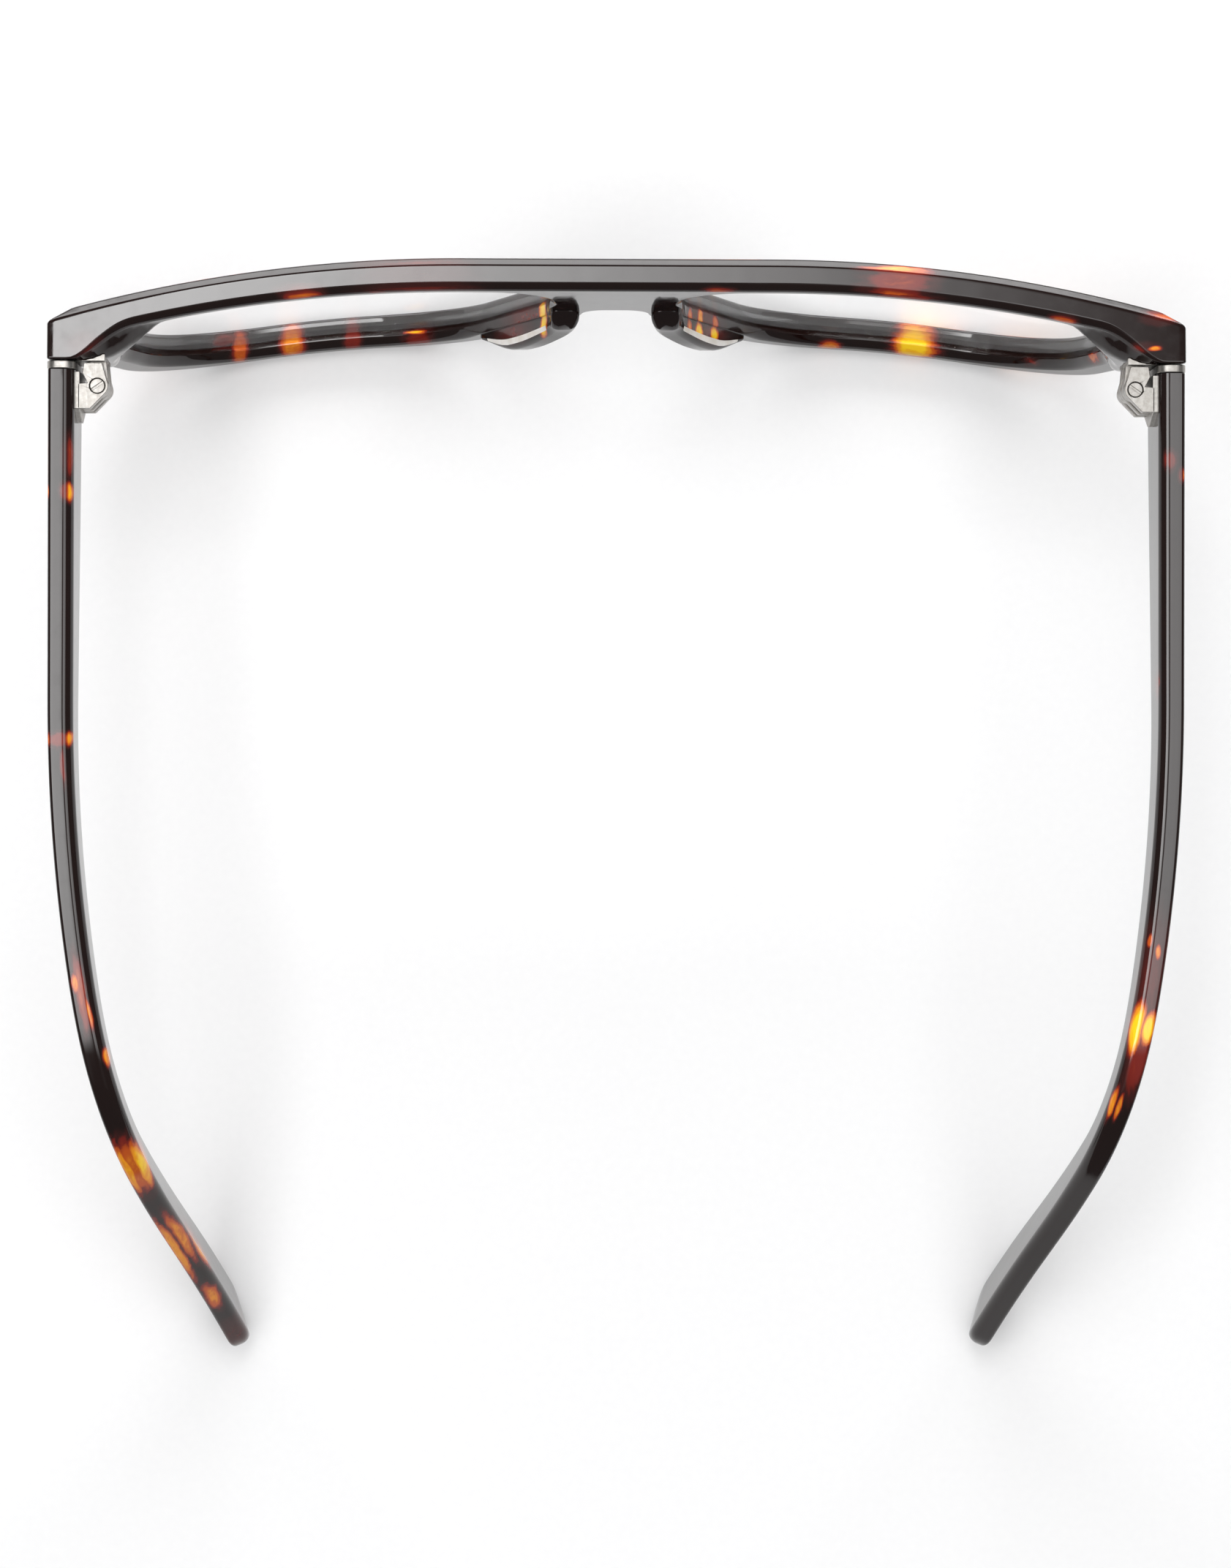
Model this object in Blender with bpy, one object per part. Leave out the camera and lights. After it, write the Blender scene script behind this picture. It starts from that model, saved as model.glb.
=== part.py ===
"""Acetate eyeglasses, open: front, demo lenses, nose pads, five-knuckle hinges, cored temples.

The frame stands on its rims and temple tips at z = 0. It faces -Y, its temples run to +Y, and +X is
the wearer's left. Shapes are worked out in millimetres and stored in metres.
"""

from math import acos, atan2, ceil, cos, hypot, pi, radians, sin, sqrt, tan

import bmesh
import bpy
from mathutils import Matrix, Vector
from mathutils.geometry import delaunay_2d_cdt

MM = 0.001

# Front, in its own plane: u across from the middle, v up from the lower rims, w back from the face
FRONT_HEIGHT = 46.0
FRONT_HALF_WIDTH = 72.5
FRONT_DEPTH = 4.2
FRONT_Y = -71.68
FRONT_TILT = radians(3.5)
FLAT_HALF_WIDTH = 20.0
WRAP_RADIUS = 190.0
REST_CUT = 0.3
BEVEL_HEIGHT = 0.7
BEVEL_SIDE = 3.2
BEVEL_DEPTH = 1.0
REAR_ROUND = 1.0
REAR_ROUND_LEAST = 0.2
REAR_EASE_U = (66.0, 70.0)
REAR_EASE_V = (28.0, 32.0)
APERTURE_FRONT_ROUND = 0.5
APERTURE_REAR_ROUND = 1.15
END_PIECE_FOOT = 33.2
HINGE_FLAT_Y = -58.5
S_START = 60.5
S_END = 69.8
S_START_BELOW = 57.0
S_END_BELOW = 67.5
S_FOOT = 24.0
S_SHOULDER = 32.0
S_LOWER_FROM = 0.5
S_LOWER_BY = 3.5
S_POWER_TOP = 1.8
S_POWER_BELOW = 1.0
RAMP_SPREAD = 2.2
RAMP_MARGIN = 1.2
SHARP = radians(30)

# Lens and its groove
GROOVE_W = 1.9
GROOVE_HALF_WIDTH = 0.95
GROOVE_DEPTH = 0.9
LENS_THICKNESS = 1.6
LENS_RISE = 0.8
LENS_TIP = 0.5
LENS_LAND = 0.3
LENS_CENTRE = (36.5, 23.0)

# Nose pad, and the spans of u and v over which the rim's rear edge eases to meet it
PAD_HEIGHT = 3.1
PAD_TOP = 30.2
PAD_GAP = 0.15
PAD_TAIL_V = (8.0, 17.5)
PAD_TAIL_SHARE = 0.12
PAD_EDGE_SHARE = 0.08
PAD_EASE_U = (17.0, 21.0)
PAD_EASE_V = (5.0, 9.0)
PAD_EASE_TOP = (31.5, 35.5)

# Hinge: its axis is vertical
PIVOT_X = 66.3
PIVOT_Y = -55.3
HINGE_FOOT = 35.7
KNUCKLES = 5
KNUCKLE_HEIGHT = 1.52
KNUCKLE_GAP = 0.1
KNUCKLE_RADIUS = 1.38
BORE_RADIUS = 0.8
SHANK_RADIUS = 0.65
SCREW_HEAD_RADIUS = 0.95
SCREW_HEAD_DEPTH = 0.6
HEAD_BORE_RADIUS = 1.08
SLOT_TURN = radians(35)
SLOT_WIDTH = 0.3
SLOT_DEPTH = 0.25
LEAF_THICKNESS = 0.9
LEAF_PROUD = 0.05
LEAF_GAP = 0.12
FRONT_NECK = 1.0
KNUCKLE_REAR = 2.9
STOP_GAP = 0.2
FRONT_LEAF_INNER = -1.0
FRONT_LEAF_OUTER = 3.5
STRIP_INNER = 2.2
STRIP_OUTER = 3.2
STRIP_TAIL = 4.4

# Temple: s runs along its upper edge from the hinge to the tip, and t along its plan
TEMPLE_X = 72.4
TEMPLE_TOP = 45.7
TEMPLE_LENGTH = 151.3
TEMPLE_THICKNESS = 3.3
TIP_THICKNESS = 3.0
OUTER_RADIUS = 0.5
INNER_RADIUS = 1.4
TIP_RADIUS = 5.0
TIP_THINNING = 0.22
ROOT_HEIGHT = 12.6
SHAFT_HEIGHT = 6.8
TIP_HEIGHT = 10.4
TAPER_SHARE = 0.8
TAPER = (-10, 66)
LATER_TAPER = (60, 95)
WIDENING = (98, 138)
PITCH_START = 85.0
PITCH_FULL = 108.0
PITCH_END = radians(47.19)
HEADING_MIDDLE = radians(9.0)
HEADING_END = radians(26.0)
HEADING_EASE = radians(3.5)
FIRST_BEND = (42, 79)
SECOND_BEND = (79, 114)
LAST_BEND = (118, 130)
PLAN_STEP = 0.5
END_PLATE_THICKNESS = 1.0
END_PLATE_GAP = 0.15
END_PLATE_PROUD = 0.15
END_PLATE_ROUND = 1.3
CORE_RADIUS = 0.6
CORE_BORE_RADIUS = 0.8
CORE_END = 128.0
CORE_FROM_OUTSIDE = 1.6

HINGE_TOP = HINGE_FOOT + KNUCKLES * KNUCKLE_HEIGHT + (KNUCKLES - 1) * KNUCKLE_GAP
TEMPLE_START = HINGE_FLAT_Y + END_PLATE_GAP + END_PLATE_THICKNESS + 0.1

# Corner: u, v, radius, steps round the corner, steps along the edge to the next corner
FRONT_CORNERS = (
    (FRONT_HALF_WIDTH, FRONT_HEIGHT, 0.4, 2, 4),
    (FRONT_HALF_WIDTH, END_PIECE_FOOT, 1.8, 3, 1),
    (69.0, 31.5, 4.0, 4, 2),
    (68.4, 22.0, 25.0, 3, 3),
    (62.5, 0.0, 19.0, 7, 6),
    (20.5, 0.0, 17.0, 6, 4),
    (4.6, 26.0, 10.0, 3, 1),
    (4.0, 30.7, 3.5, 4, 2),
)
TOP_STEPS = 26
APERTURE_CORNERS = (
    (63.6, 43.0, 9.0, 7, 2),
    (64.6, 24.0, 25.0, 2, 2),
    (59.0, 3.3, 17.0, 6, 5),
    (22.0, 3.3, 18.0, 5, 3),
    (8.8, 27.0, 12.0, 2, 1),
    (8.6, 43.0, 8.0, 6, 7),
)
PAD_CORNERS = (
    (8.4, PAD_TOP, 1.0, 4, 3),
    (8.5, 27.0, 12.0, 2, 4),
    (18.6, 9.0, 1.7, 4, 1),
    (15.6, 8.0, 1.3, 3, 4),
    (4.9, 25.6, 9.0, 2, 3),
    (4.6, PAD_TOP, 1.3, 4, 1),
)
# How far in from the pad's edge on the lens side, and on the others, at each share of its height
PAD_PROFILE = (
    (0.0, 0.0, 0.0),
    (0.0, 0.05, 0.35),
    (0.12, 0.45, 0.80),
    (0.45, 0.80, 0.95),
    (0.95, 1.10, 1.0),
)


def smooth(value, low, high):
    """0 below low, 1 above high, and an S between them."""
    t = min(max((value - low) / (high - low), 0.0), 1.0)
    return t * t * (3 - 2 * t)


def ramp(value, low, high):
    return min(max((value - low) / (high - low), 0.0), 1.0)


# The share of the pad's height gained, between two distances below its upper end
PAD_RISES = (
    (ramp, 0.38, 0.0, 0.8),
    (ramp, 0.24, 0.8, 1.6),
    (smooth, 0.30, 1.5, 11.0),
)


# Outlines


def loop(corners, inset=0.0):
    """Points round a polygon with rounded corners, moved inwards by inset, one distance or one per edge.

    Every inset gives the same number of points, so that two loops can be bridged.
    """
    count = len(corners)
    insets = inset if isinstance(inset, (list, tuple)) else [inset] * count
    at = [Vector(corner[:2]) for corner in corners]
    side = 1 if winding(at) > 0 else -1
    ways = [(at[(i + 1) % count] - at[i]).normalized() for i in range(count)]
    starts = [at[i] + side * insets[i] * Vector((-ways[i].y, ways[i].x)) for i in range(count)]
    moved = []
    turns = []
    reach = []
    for i in range(count):
        before = ways[i - 1]
        after = ways[i]
        along = (starts[i] - starts[i - 1]).cross(after) / before.cross(after)
        moved.append(starts[i - 1] + before * along)
        turn = atan2(before.cross(after), before.dot(after))
        mean = (insets[i - 1] + insets[i]) / 2
        radius = corners[i][2] - mean * (1 if turn * side > 0 else -1)
        turns.append(turn)
        reach.append(max(radius, 0.15) * tan(abs(turn) / 2))
    for i in range(count):
        after = (i + 1) % count
        room = 0.98 * (moved[after] - moved[i]).length
        if reach[i] + reach[after] > room:
            share = room / (reach[i] + reach[after])
            reach[i] *= share
            reach[after] *= share
    points = []
    for i in range(count):
        start = moved[i] - ways[i - 1] * reach[i]
        radius = reach[i] / tan(abs(turns[i]) / 2)
        towards = 1 if turns[i] > 0 else -1
        centre = start + towards * radius * Vector((-ways[i - 1].y, ways[i - 1].x))
        steps = corners[i][3]
        for k in range(steps + 1):
            points.append(centre + Matrix.Rotation(turns[i] * k / steps, 2) @ (start - centre))
        after = (i + 1) % count
        end = moved[after] - ways[i] * reach[after]
        for k in range(1, corners[i][4]):
            points.append(points[-1].lerp(end, 1 / (corners[i][4] - k + 1)))
    return points


def both_sides(corners):
    """The corners of the whole outline, from those of its +u half."""
    left = []
    for i in range(len(corners) - 1, -1, -1):
        u, v, radius, steps, _ = corners[i]
        left.append((-u, v, radius, steps, corners[i - 1][4] if i else TOP_STEPS))
    return list(corners) + left


def winding(points):
    """Twice a loop's area, positive when it runs anticlockwise."""
    return sum(points[i - 1].cross(point) for i, point in enumerate(points))


def inside(point, ring):
    """Whether a point is inside a loop of points."""
    found = False
    for i, a in enumerate(ring):
        b = ring[i - 1]
        if (a.y > point.y) != (b.y > point.y):
            if point.x < a.x + (b.x - a.x) * (point.y - a.y) / (b.y - a.y):
                found = not found
    return found


def circle(radius, sides):
    angles = [2 * pi * k / sides for k in range(sides)]
    return [Vector((radius * cos(a), radius * sin(a))) for a in angles]


# Skins and objects


class Skin:
    """The vertices and faces of one closed surface, in millimetres."""

    def __init__(self):
        self.points = []
        self.faces = []

    def ring(self, points):
        first = len(self.points)
        self.points += [Vector(point) for point in points]
        return list(range(first, len(self.points)))

    def bridge(self, a, b):
        count = len(a)
        for i in range(count):
            j = (i + 1) % count
            self.faces.append((a[i], a[j], b[j], b[i]))

    def sweep(self, rings):
        """Bridges one ring to the next, and gives the numbers of the first and the last."""
        numbers = [self.ring(points) for points in rings]
        for a, b in zip(numbers, numbers[1:]):
            self.bridge(a, b)
        return numbers[0], numbers[-1]

    def close(self, *rings):
        """Fans each ring from its middle."""
        for ring in rings:
            self.fan(ring, sum((self.points[k] for k in ring), Vector((0, 0, 0))) / len(ring))

    def fan(self, ring, point):
        centre = self.ring([point])[0]
        for i, a in enumerate(ring):
            self.faces.append((ring[i - 1], a, centre))

    def fill(self, rings, flats, extra=(), place=None):
        """Triangles between an outer ring and the rings of its holes, through extra points inside.

        flats holds each ring's points in the plane, and place puts an extra point in space.
        """
        numbers = [number for ring in rings for number in ring]
        numbers += self.ring([place(point) for point in extra])
        flat = [point for ring in flats for point in ring] + list(extra)
        walls = []
        first = 0
        for ring in flats:
            walls += [(first + i, first + (i + 1) % len(ring)) for i in range(len(ring))]
            first += len(ring)
        made = delaunay_2d_cdt(flat, walls, [], 0, 1e-6)
        faces = [tuple(made[3][k][0] for k in face) for face in made[2]]
        owner = {(a, b): face for face in faces for a, b in zip(face, face[1:] + face[:1])}
        outer = walls[: len(flats[0])]
        if winding(flats[0]) < 0:
            outer = [(b, a) for a, b in outer]
        closed = set(walls) | {(b, a) for a, b in walls}
        wanted = {owner[edge] for edge in outer}
        front = list(wanted)
        while front:
            face = front.pop()
            for a, b in zip(face, face[1:] + face[:1]):
                beyond = owner.get((b, a))
                if (a, b) not in closed and beyond and beyond not in wanted:
                    wanted.add(beyond)
                    front.append(beyond)
        self.faces += [tuple(numbers[k] for k in face) for face in faces if face in wanted]


def make_object(name, skin, material=None):
    shape = bmesh.new()
    points = [shape.verts.new(point * MM) for point in skin.points]
    for face in skin.faces:
        shape.faces.new([points[k] for k in face])
    loose = [point for point in shape.verts if not point.link_faces]
    bmesh.ops.delete(shape, geom=loose, context="VERTS")
    bmesh.ops.recalc_face_normals(shape, faces=shape.faces[:])
    if shape.calc_volume(signed=True) < 0:
        bmesh.ops.reverse_faces(shape, faces=shape.faces[:])
    mesh = bpy.data.meshes.new(name)
    shape.to_mesh(mesh)
    shape.free()
    mesh.shade_smooth()
    mesh.set_sharp_from_angle(angle=SHARP)
    made = bpy.data.objects.new(name, mesh)
    bpy.context.scene.collection.objects.link(made)
    if material:
        mesh.materials.append(material)
    return made


def prism(outline, low, high, axis="Z"):
    """An outline carried from low to high along an axis; the outline's plane is the other two, in order."""
    order = {"X": (2, 0, 1), "Y": (0, 2, 1), "Z": (0, 1, 2)}[axis]
    skin = Skin()
    rings = []
    for level in (low, high):
        ring = [(point[0], point[1], level) for point in outline]
        rings.append([Vector((p[order[0]], p[order[1]], p[order[2]])) for p in ring])
    first, last = skin.sweep(rings)
    flat = [Vector((point[0], point[1])) for point in outline]
    skin.fill([first], [flat])
    skin.fill([last], [flat])
    return skin


def box(low, high):
    corners = [(low[0], low[1]), (high[0], low[1]), (high[0], high[1]), (low[0], high[1])]
    return prism(corners, low[2], high[2])


def combine(made, operation, skins):
    """Cuts from an object, or joins to it, each of these skins."""
    for skin in skins:
        tool = make_object("tool", skin)
        modifier = made.modifiers.new("tool", "BOOLEAN")
        modifier.object = tool
        modifier.operation = operation
        modifier.solver = "EXACT"
        bpy.context.view_layer.update()
        evaluated = made.evaluated_get(bpy.context.evaluated_depsgraph_get())
        result = bpy.data.meshes.new_from_object(evaluated)
        made.modifiers.clear()
        before = made.data
        made.data = result
        bpy.data.meshes.remove(before)
        bpy.data.objects.remove(tool)
    made.data.name = made.name
    made.data.shade_smooth()
    made.data.set_sharp_from_angle(angle=SHARP)
    return made


def mirrored(source, name, material):
    """A copy on the other side of the object's middle plane."""
    mesh = source.data.copy()
    mesh.name = name
    mesh.transform(Matrix.Diagonal((-1, 1, 1, 1)))
    mesh.flip_normals()
    mesh.materials.clear()
    mesh.materials.append(material)
    made = bpy.data.objects.new(name, mesh)
    bpy.context.scene.collection.objects.link(made)
    return made


def finish(name, colour, roughness, metallic=0.0, alpha=1.0, transmission=0.0):
    material = bpy.data.materials.new(name)
    material.use_nodes = True
    shader = material.node_tree.nodes["Principled BSDF"]
    shader.inputs["Base Color"].default_value = (*colour, 1.0)
    shader.inputs["Roughness"].default_value = roughness
    shader.inputs["Metallic"].default_value = metallic
    shader.inputs["Alpha"].default_value = alpha
    shader.inputs["Transmission Weight"].default_value = transmission
    material.diffuse_color = (*colour, alpha)
    return material


def acetate(name):
    return finish(name, (0.045, 0.014, 0.008), 0.12)


def clear_lens(name):
    return finish(name, (0.93, 0.95, 0.95), 0.03, alpha=0.25, transmission=0.9)


def nickel(name):
    return finish(name, (0.86, 0.82, 0.77), 0.16, metallic=1.0)


# Front


def face_sag(u):
    """How far the face has curved back at u."""
    beyond = max(abs(u) - FLAT_HALF_WIDTH, 0.0)
    return WRAP_RADIUS - sqrt(WRAP_RADIUS**2 - beyond**2)


def front_point(u, v, w):
    y = FRONT_Y + face_sag(u) + (FRONT_HEIGHT - v) * sin(FRONT_TILT) + w * cos(FRONT_TILT)
    return Vector((u, y, v * cos(FRONT_TILT) + w * sin(FRONT_TILT) - REST_CUT))


def front_depth(u, v):
    """Thickness: even over the rims, then an S back to the upright flat that carries the hinge."""
    flat = HINGE_FLAT_Y - FRONT_Y - face_sag(u) - (FRONT_HEIGHT - v) * sin(FRONT_TILT)
    lower = smooth(FRONT_HEIGHT - v, S_LOWER_FROM, S_LOWER_BY)
    start = S_START + (S_START_BELOW - S_START) * lower
    end = S_END + (S_END_BELOW - S_END) * lower
    power = S_POWER_TOP + (S_POWER_BELOW - S_POWER_TOP) * lower
    share = smooth(abs(u), start, end) ** power * smooth(v, S_FOOT, S_SHOULDER)
    return FRONT_DEPTH + (flat / cos(FRONT_TILT) - FRONT_DEPTH) * share


def at_pad(u, v):
    """1 where a nose pad stands on the rim, falling to 0 around it."""
    upwards = smooth(v, *PAD_EASE_V) * (1 - smooth(v, *PAD_EASE_TOP))
    return upwards * (1 - smooth(abs(u), *PAD_EASE_U))


def rear_round(u, v, radius=REAR_ROUND):
    """The rear edge's radius: less at the end-piece, which meets the temple, and under the nose pad."""
    at_end = smooth(abs(u), *REAR_EASE_U) * smooth(v, *REAR_EASE_V)
    return radius + (REAR_ROUND_LEAST - radius) * max(at_end, at_pad(u, v))


def outer_rings():
    """The front's outer skin from its face to its back, as flat rings with their depths."""
    corners = both_sides(FRONT_CORNERS)
    sides = (0, len(corners) - 2)
    bevel = [BEVEL_SIDE if i in sides else BEVEL_HEIGHT for i in range(len(corners))]
    edge = loop(corners)
    lowered = loop(corners, REAR_ROUND)
    rings = [[(p, 0.0) for p in loop(corners, bevel)], [(p, BEVEL_DEPTH) for p in edge]]
    for turn in (0, 45, 90):
        ring = []
        for a, b in zip(edge, lowered):
            radius = rear_round(*a)
            inwards = radius * (1 - cos(radians(turn)))
            p = a.lerp(b, inwards / REAR_ROUND)
            ring.append((p, front_depth(*p) - radius * (1 - sin(radians(turn)))))
        rings.append(ring)
    return rings


def aperture_rings(side):
    """The wall of one lens opening with its V groove, from the face to the back."""
    steps = (
        (APERTURE_FRONT_ROUND, 0.0),
        (0.0, APERTURE_FRONT_ROUND),
        (0.0, GROOVE_W - GROOVE_HALF_WIDTH),
        (GROOVE_DEPTH, GROOVE_W),
        (0.0, GROOVE_W + GROOVE_HALF_WIDTH),
    )
    rings = [[(p, w) for p in loop(APERTURE_CORNERS, -out)] for out, w in steps]
    edge = loop(APERTURE_CORNERS)
    lowered = loop(APERTURE_CORNERS, -APERTURE_REAR_ROUND)
    rounds = [rear_round(*p, APERTURE_REAR_ROUND) for p in edge]
    rings.append([(p, front_depth(*p) - radius) for p, radius in zip(edge, rounds)])
    back = [p.lerp(q, radius / APERTURE_REAR_ROUND) for p, q, radius in zip(edge, lowered, rounds)]
    rings.append([(p, front_depth(*p)) for p in back])
    return [[(Vector((side * p.x, p.y)), w) for p, w in ring] for ring in rings]


def ramp_points(flats):
    """Points over the back of each end-piece, so that its surface follows the S."""
    points = []
    for side in (-1, 1):
        for i in range(8):
            for j in range(10):
                p = Vector((side * (56.5 + RAMP_SPREAD * i), 24.5 + RAMP_SPREAD * j))
                near = min((p - q).length for ring in flats for q in ring)
                if near > RAMP_MARGIN and inside(p, flats[0]) and not any(inside(p, q) for q in flats[1:]):
                    points.append(p)
    return points


def make_front():
    skin = Skin()
    walls = [outer_rings(), aperture_rings(1), aperture_rings(-1)]
    ends = [skin.sweep([[front_point(*p, w) for p, w in ring] for ring in wall]) for wall in walls]
    face = [[p for p, _ in wall[0]] for wall in walls]
    back = [[p for p, _ in wall[-1]] for wall in walls]
    skin.fill([first for first, _ in ends], face)
    skin.fill([last for _, last in ends], back, ramp_points(back),
              lambda p: front_point(p.x, p.y, front_depth(*p)))
    front = make_object("front_frame", skin, acetate("front_frame"))
    low, high = front_leaf_box(LEAF_GAP)
    pockets = [box(low, high)]
    pockets.append(box((-high[0], low[1], low[2]), (-low[0], high[1], high[2])))
    floor = box((-100, -100, -10), (100, 100, 0))
    return combine(front, "DIFFERENCE", pockets + [floor])


# Lenses and nose pads


def make_lens():
    """A thin curved lens with a V edge."""
    centre = Vector(LENS_CENTRE)
    edge = loop(APERTURE_CORNERS, LENS_LAND)
    half = LENS_THICKNESS / 2

    def ring(share, sign):
        rise = LENS_RISE * (1 - share**2)
        points = [centre.lerp(p, share) for p in edge]
        return [front_point(*p, GROOVE_W + sign * half - rise) for p in points]

    tip = [front_point(*p, GROOVE_W) for p in loop(APERTURE_CORNERS, -LENS_TIP)]
    shares = (0.35, 0.7, 1.0)
    skin = Skin()
    face = [ring(share, -1) for share in shares]
    back = [ring(share, 1) for share in reversed(shares)]
    first, last = skin.sweep(face + [tip] + back)
    skin.fan(first, front_point(*centre, GROOVE_W - half - LENS_RISE))
    skin.fan(last, front_point(*centre, GROOVE_W + half - LENS_RISE))
    return make_object("lens_left", skin, clear_lens("lens_left"))


def pad_height(v):
    """How far the pad stands off the rim: blunt at its upper end, and long and low at the other."""
    upper = PAD_EDGE_SHARE
    for ease, share, start, end in PAD_RISES:
        upper += share * ease(PAD_TOP - v, start, end)
    return PAD_HEIGHT * upper * (PAD_TAIL_SHARE + (1 - PAD_TAIL_SHARE) * smooth(v, *PAD_TAIL_V))


def make_nose_pad():
    """A long drop on the back of the nasal rim, leaning away from the nose as it comes back."""
    skin = Skin()
    rings = []
    flats = []
    for lens_side, nose_side, share in PAD_PROFILE:
        flat = loop(PAD_CORNERS, [lens_side, lens_side] + [nose_side] * 4)
        ring = []
        for p in flat:
            height = pad_height(p.y)
            depth = front_depth(*p) + PAD_GAP + height * share
            ring.append(front_point(*p, depth))
        rings.append(ring)
        flats.append(flat)
    first, last = skin.sweep(rings)
    skin.fill([first], [flats[0]])
    skin.fill([last], [flats[-1]])
    return make_object("nose_pad_left", skin, acetate("nose_pad_left"))


# Hinge, built about its own axis: x outwards and y back from the pivot, z as in the whole


def hinge_shift(skin):
    skin.points = [point + Vector((PIVOT_X, PIVOT_Y, 0)) for point in skin.points]
    return skin


def knuckle_levels(first):
    """The (low, high) of every second knuckle, counted from the lowest."""
    pitch = KNUCKLE_HEIGHT + KNUCKLE_GAP
    lows = [HINGE_FOOT + pitch * k for k in range(first, KNUCKLES, 2)]
    return [(low, low + KNUCKLE_HEIGHT) for low in lows]


def round_end(start, end, steps):
    """The arc of the knuckle's round end between its tangents from two points."""
    angles = []
    for point, way in ((start, 1), (end, -1)):
        spread = acos(KNUCKLE_RADIUS / hypot(*point))
        angles.append(atan2(point[1], point[0]) % (2 * pi) + way * spread)
    turns = [angles[0] + (angles[1] - angles[0]) * k / steps for k in range(steps + 1)]
    return [(KNUCKLE_RADIUS * cos(a), KNUCKLE_RADIUS * sin(a)) for a in turns]


def front_leaf_box(gap):
    """The front leaf's plate, or with a gap its pocket, in the whole object's millimetres."""
    rear = HINGE_FLAT_Y + (LEAF_PROUD if gap == 0 else 2.0)
    floor = HINGE_FLAT_Y + LEAF_PROUD - LEAF_THICKNESS
    low = (PIVOT_X + FRONT_LEAF_INNER - gap, floor - gap, HINGE_FOOT - gap)
    high = (PIVOT_X + FRONT_LEAF_OUTER + gap, rear, HINGE_TOP + gap)
    return low, high


def make_front_leaf():
    low, high = front_leaf_box(0)
    leaf = make_object("front_hinge_leaf_left", box(low, high), nickel("front_hinge_leaf_left"))
    root = low[1] + LEAF_THICKNESS / 2 - PIVOT_Y
    outline = [(FRONT_NECK, root)]
    outline += [(KNUCKLE_RADIUS * cos(pi * k / 8), KNUCKLE_RADIUS * sin(pi * k / 8)) for k in range(9)]
    outline.append((-FRONT_NECK, root))
    knuckles = [hinge_shift(prism(outline, *level)) for level in knuckle_levels(1)]
    combine(leaf, "UNION", knuckles)
    bore = hinge_shift(prism(circle(BORE_RADIUS, 20), HINGE_FOOT - 1, HINGE_TOP + 1))
    return combine(leaf, "DIFFERENCE", [bore])


def strip_outline(gap):
    """Side view of the temple leaf's strip, y back from the pivot and z: square in front, tapered behind."""
    start = TEMPLE_START - PIVOT_Y + (-4.0 if gap else 0.1)
    knee = STRIP_TAIL - 1.5 + gap
    middle = (HINGE_FOOT + HINGE_TOP) / 2
    return [
        (start, HINGE_FOOT - gap),
        (knee, HINGE_FOOT - gap),
        (STRIP_TAIL + gap, middle - 1 - gap),
        (STRIP_TAIL + gap, middle + 1 + gap),
        (knee, HINGE_TOP + gap),
        (start, HINGE_TOP + gap),
    ]


def make_temple_leaf():
    strip = hinge_shift(prism(strip_outline(0), STRIP_INNER, STRIP_OUTER, "X"))
    leaf = make_object("temple_hinge_leaf_left", strip, nickel("temple_hinge_leaf_left"))
    stop = HINGE_FLAT_Y + LEAF_PROUD + STOP_GAP - PIVOT_Y
    root = STRIP_INNER + 0.3
    nose = (-0.6, stop)
    heel = (0.9, KNUCKLE_REAR)
    outline = [nose, (1.7, stop), (1.9, -1.6), (1.3, -0.4), (root, -0.3), (root, KNUCKLE_REAR), heel]
    outline += round_end(heel, nose, 5)
    knuckles = [hinge_shift(prism(outline, *level)) for level in knuckle_levels(0)]
    combine(leaf, "UNION", knuckles)
    bore = hinge_shift(prism(circle(BORE_RADIUS, 20), HINGE_FOOT - 1, HINGE_TOP + 1))
    seat = hinge_shift(prism(circle(HEAD_BORE_RADIUS, 20), HINGE_TOP - SCREW_HEAD_DEPTH - 0.1, HINGE_TOP + 1))
    return combine(leaf, "DIFFERENCE", [bore, seat])


def make_screw():
    neck = HINGE_TOP - SCREW_HEAD_DEPTH
    head = hinge_shift(prism(circle(SCREW_HEAD_RADIUS, 20), neck, HINGE_TOP - 0.05))
    screw = make_object("hinge_screw_left", head, nickel("hinge_screw_left"))
    shank = hinge_shift(prism(circle(SHANK_RADIUS, 16), HINGE_FOOT + 0.05, neck + 0.3))
    combine(screw, "UNION", [shank])
    half = SLOT_WIDTH / 2
    bar = ((-2, -half), (2, -half), (2, half), (-2, half))
    cut = [Matrix.Rotation(SLOT_TURN, 2) @ Vector(p) for p in bar]
    slot = hinge_shift(prism(cut, HINGE_TOP - 0.05 - SLOT_DEPTH, HINGE_TOP + 1))
    return combine(screw, "DIFFERENCE", [slot])


# Temple


def temple_heading(t):
    """How far the temple has turned inwards at t along its plan."""
    turned = HEADING_MIDDLE * ramp(t, *FIRST_BEND)
    turned += (HEADING_END - HEADING_MIDDLE) * ramp(t, *SECOND_BEND)
    return turned - HEADING_EASE * ramp(t, *LAST_BEND)


def temple_height(s):
    """From the upper edge to the lower: it tapers to the bend, and widens again to the tip."""
    taper = TAPER_SHARE * smooth(s, *TAPER) + (1 - TAPER_SHARE) * smooth(s, *LATER_TAPER)
    height = ROOT_HEIGHT + (SHAFT_HEIGHT - ROOT_HEIGHT) * taper
    return height + (TIP_HEIGHT - SHAFT_HEIGHT) * smooth(s, *WIDENING)


def temple_plan():
    """The plan of the temple's outer face, a point every PLAN_STEP."""
    points = [Vector((TEMPLE_X, TEMPLE_START))]
    for k in range(ceil(TEMPLE_LENGTH / PLAN_STEP)):
        heading = temple_heading((k + 0.5) * PLAN_STEP)
        points.append(points[-1] + PLAN_STEP * Vector((-sin(heading), cos(heading))))
    return points


TEMPLE_PLAN = temple_plan()


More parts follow.
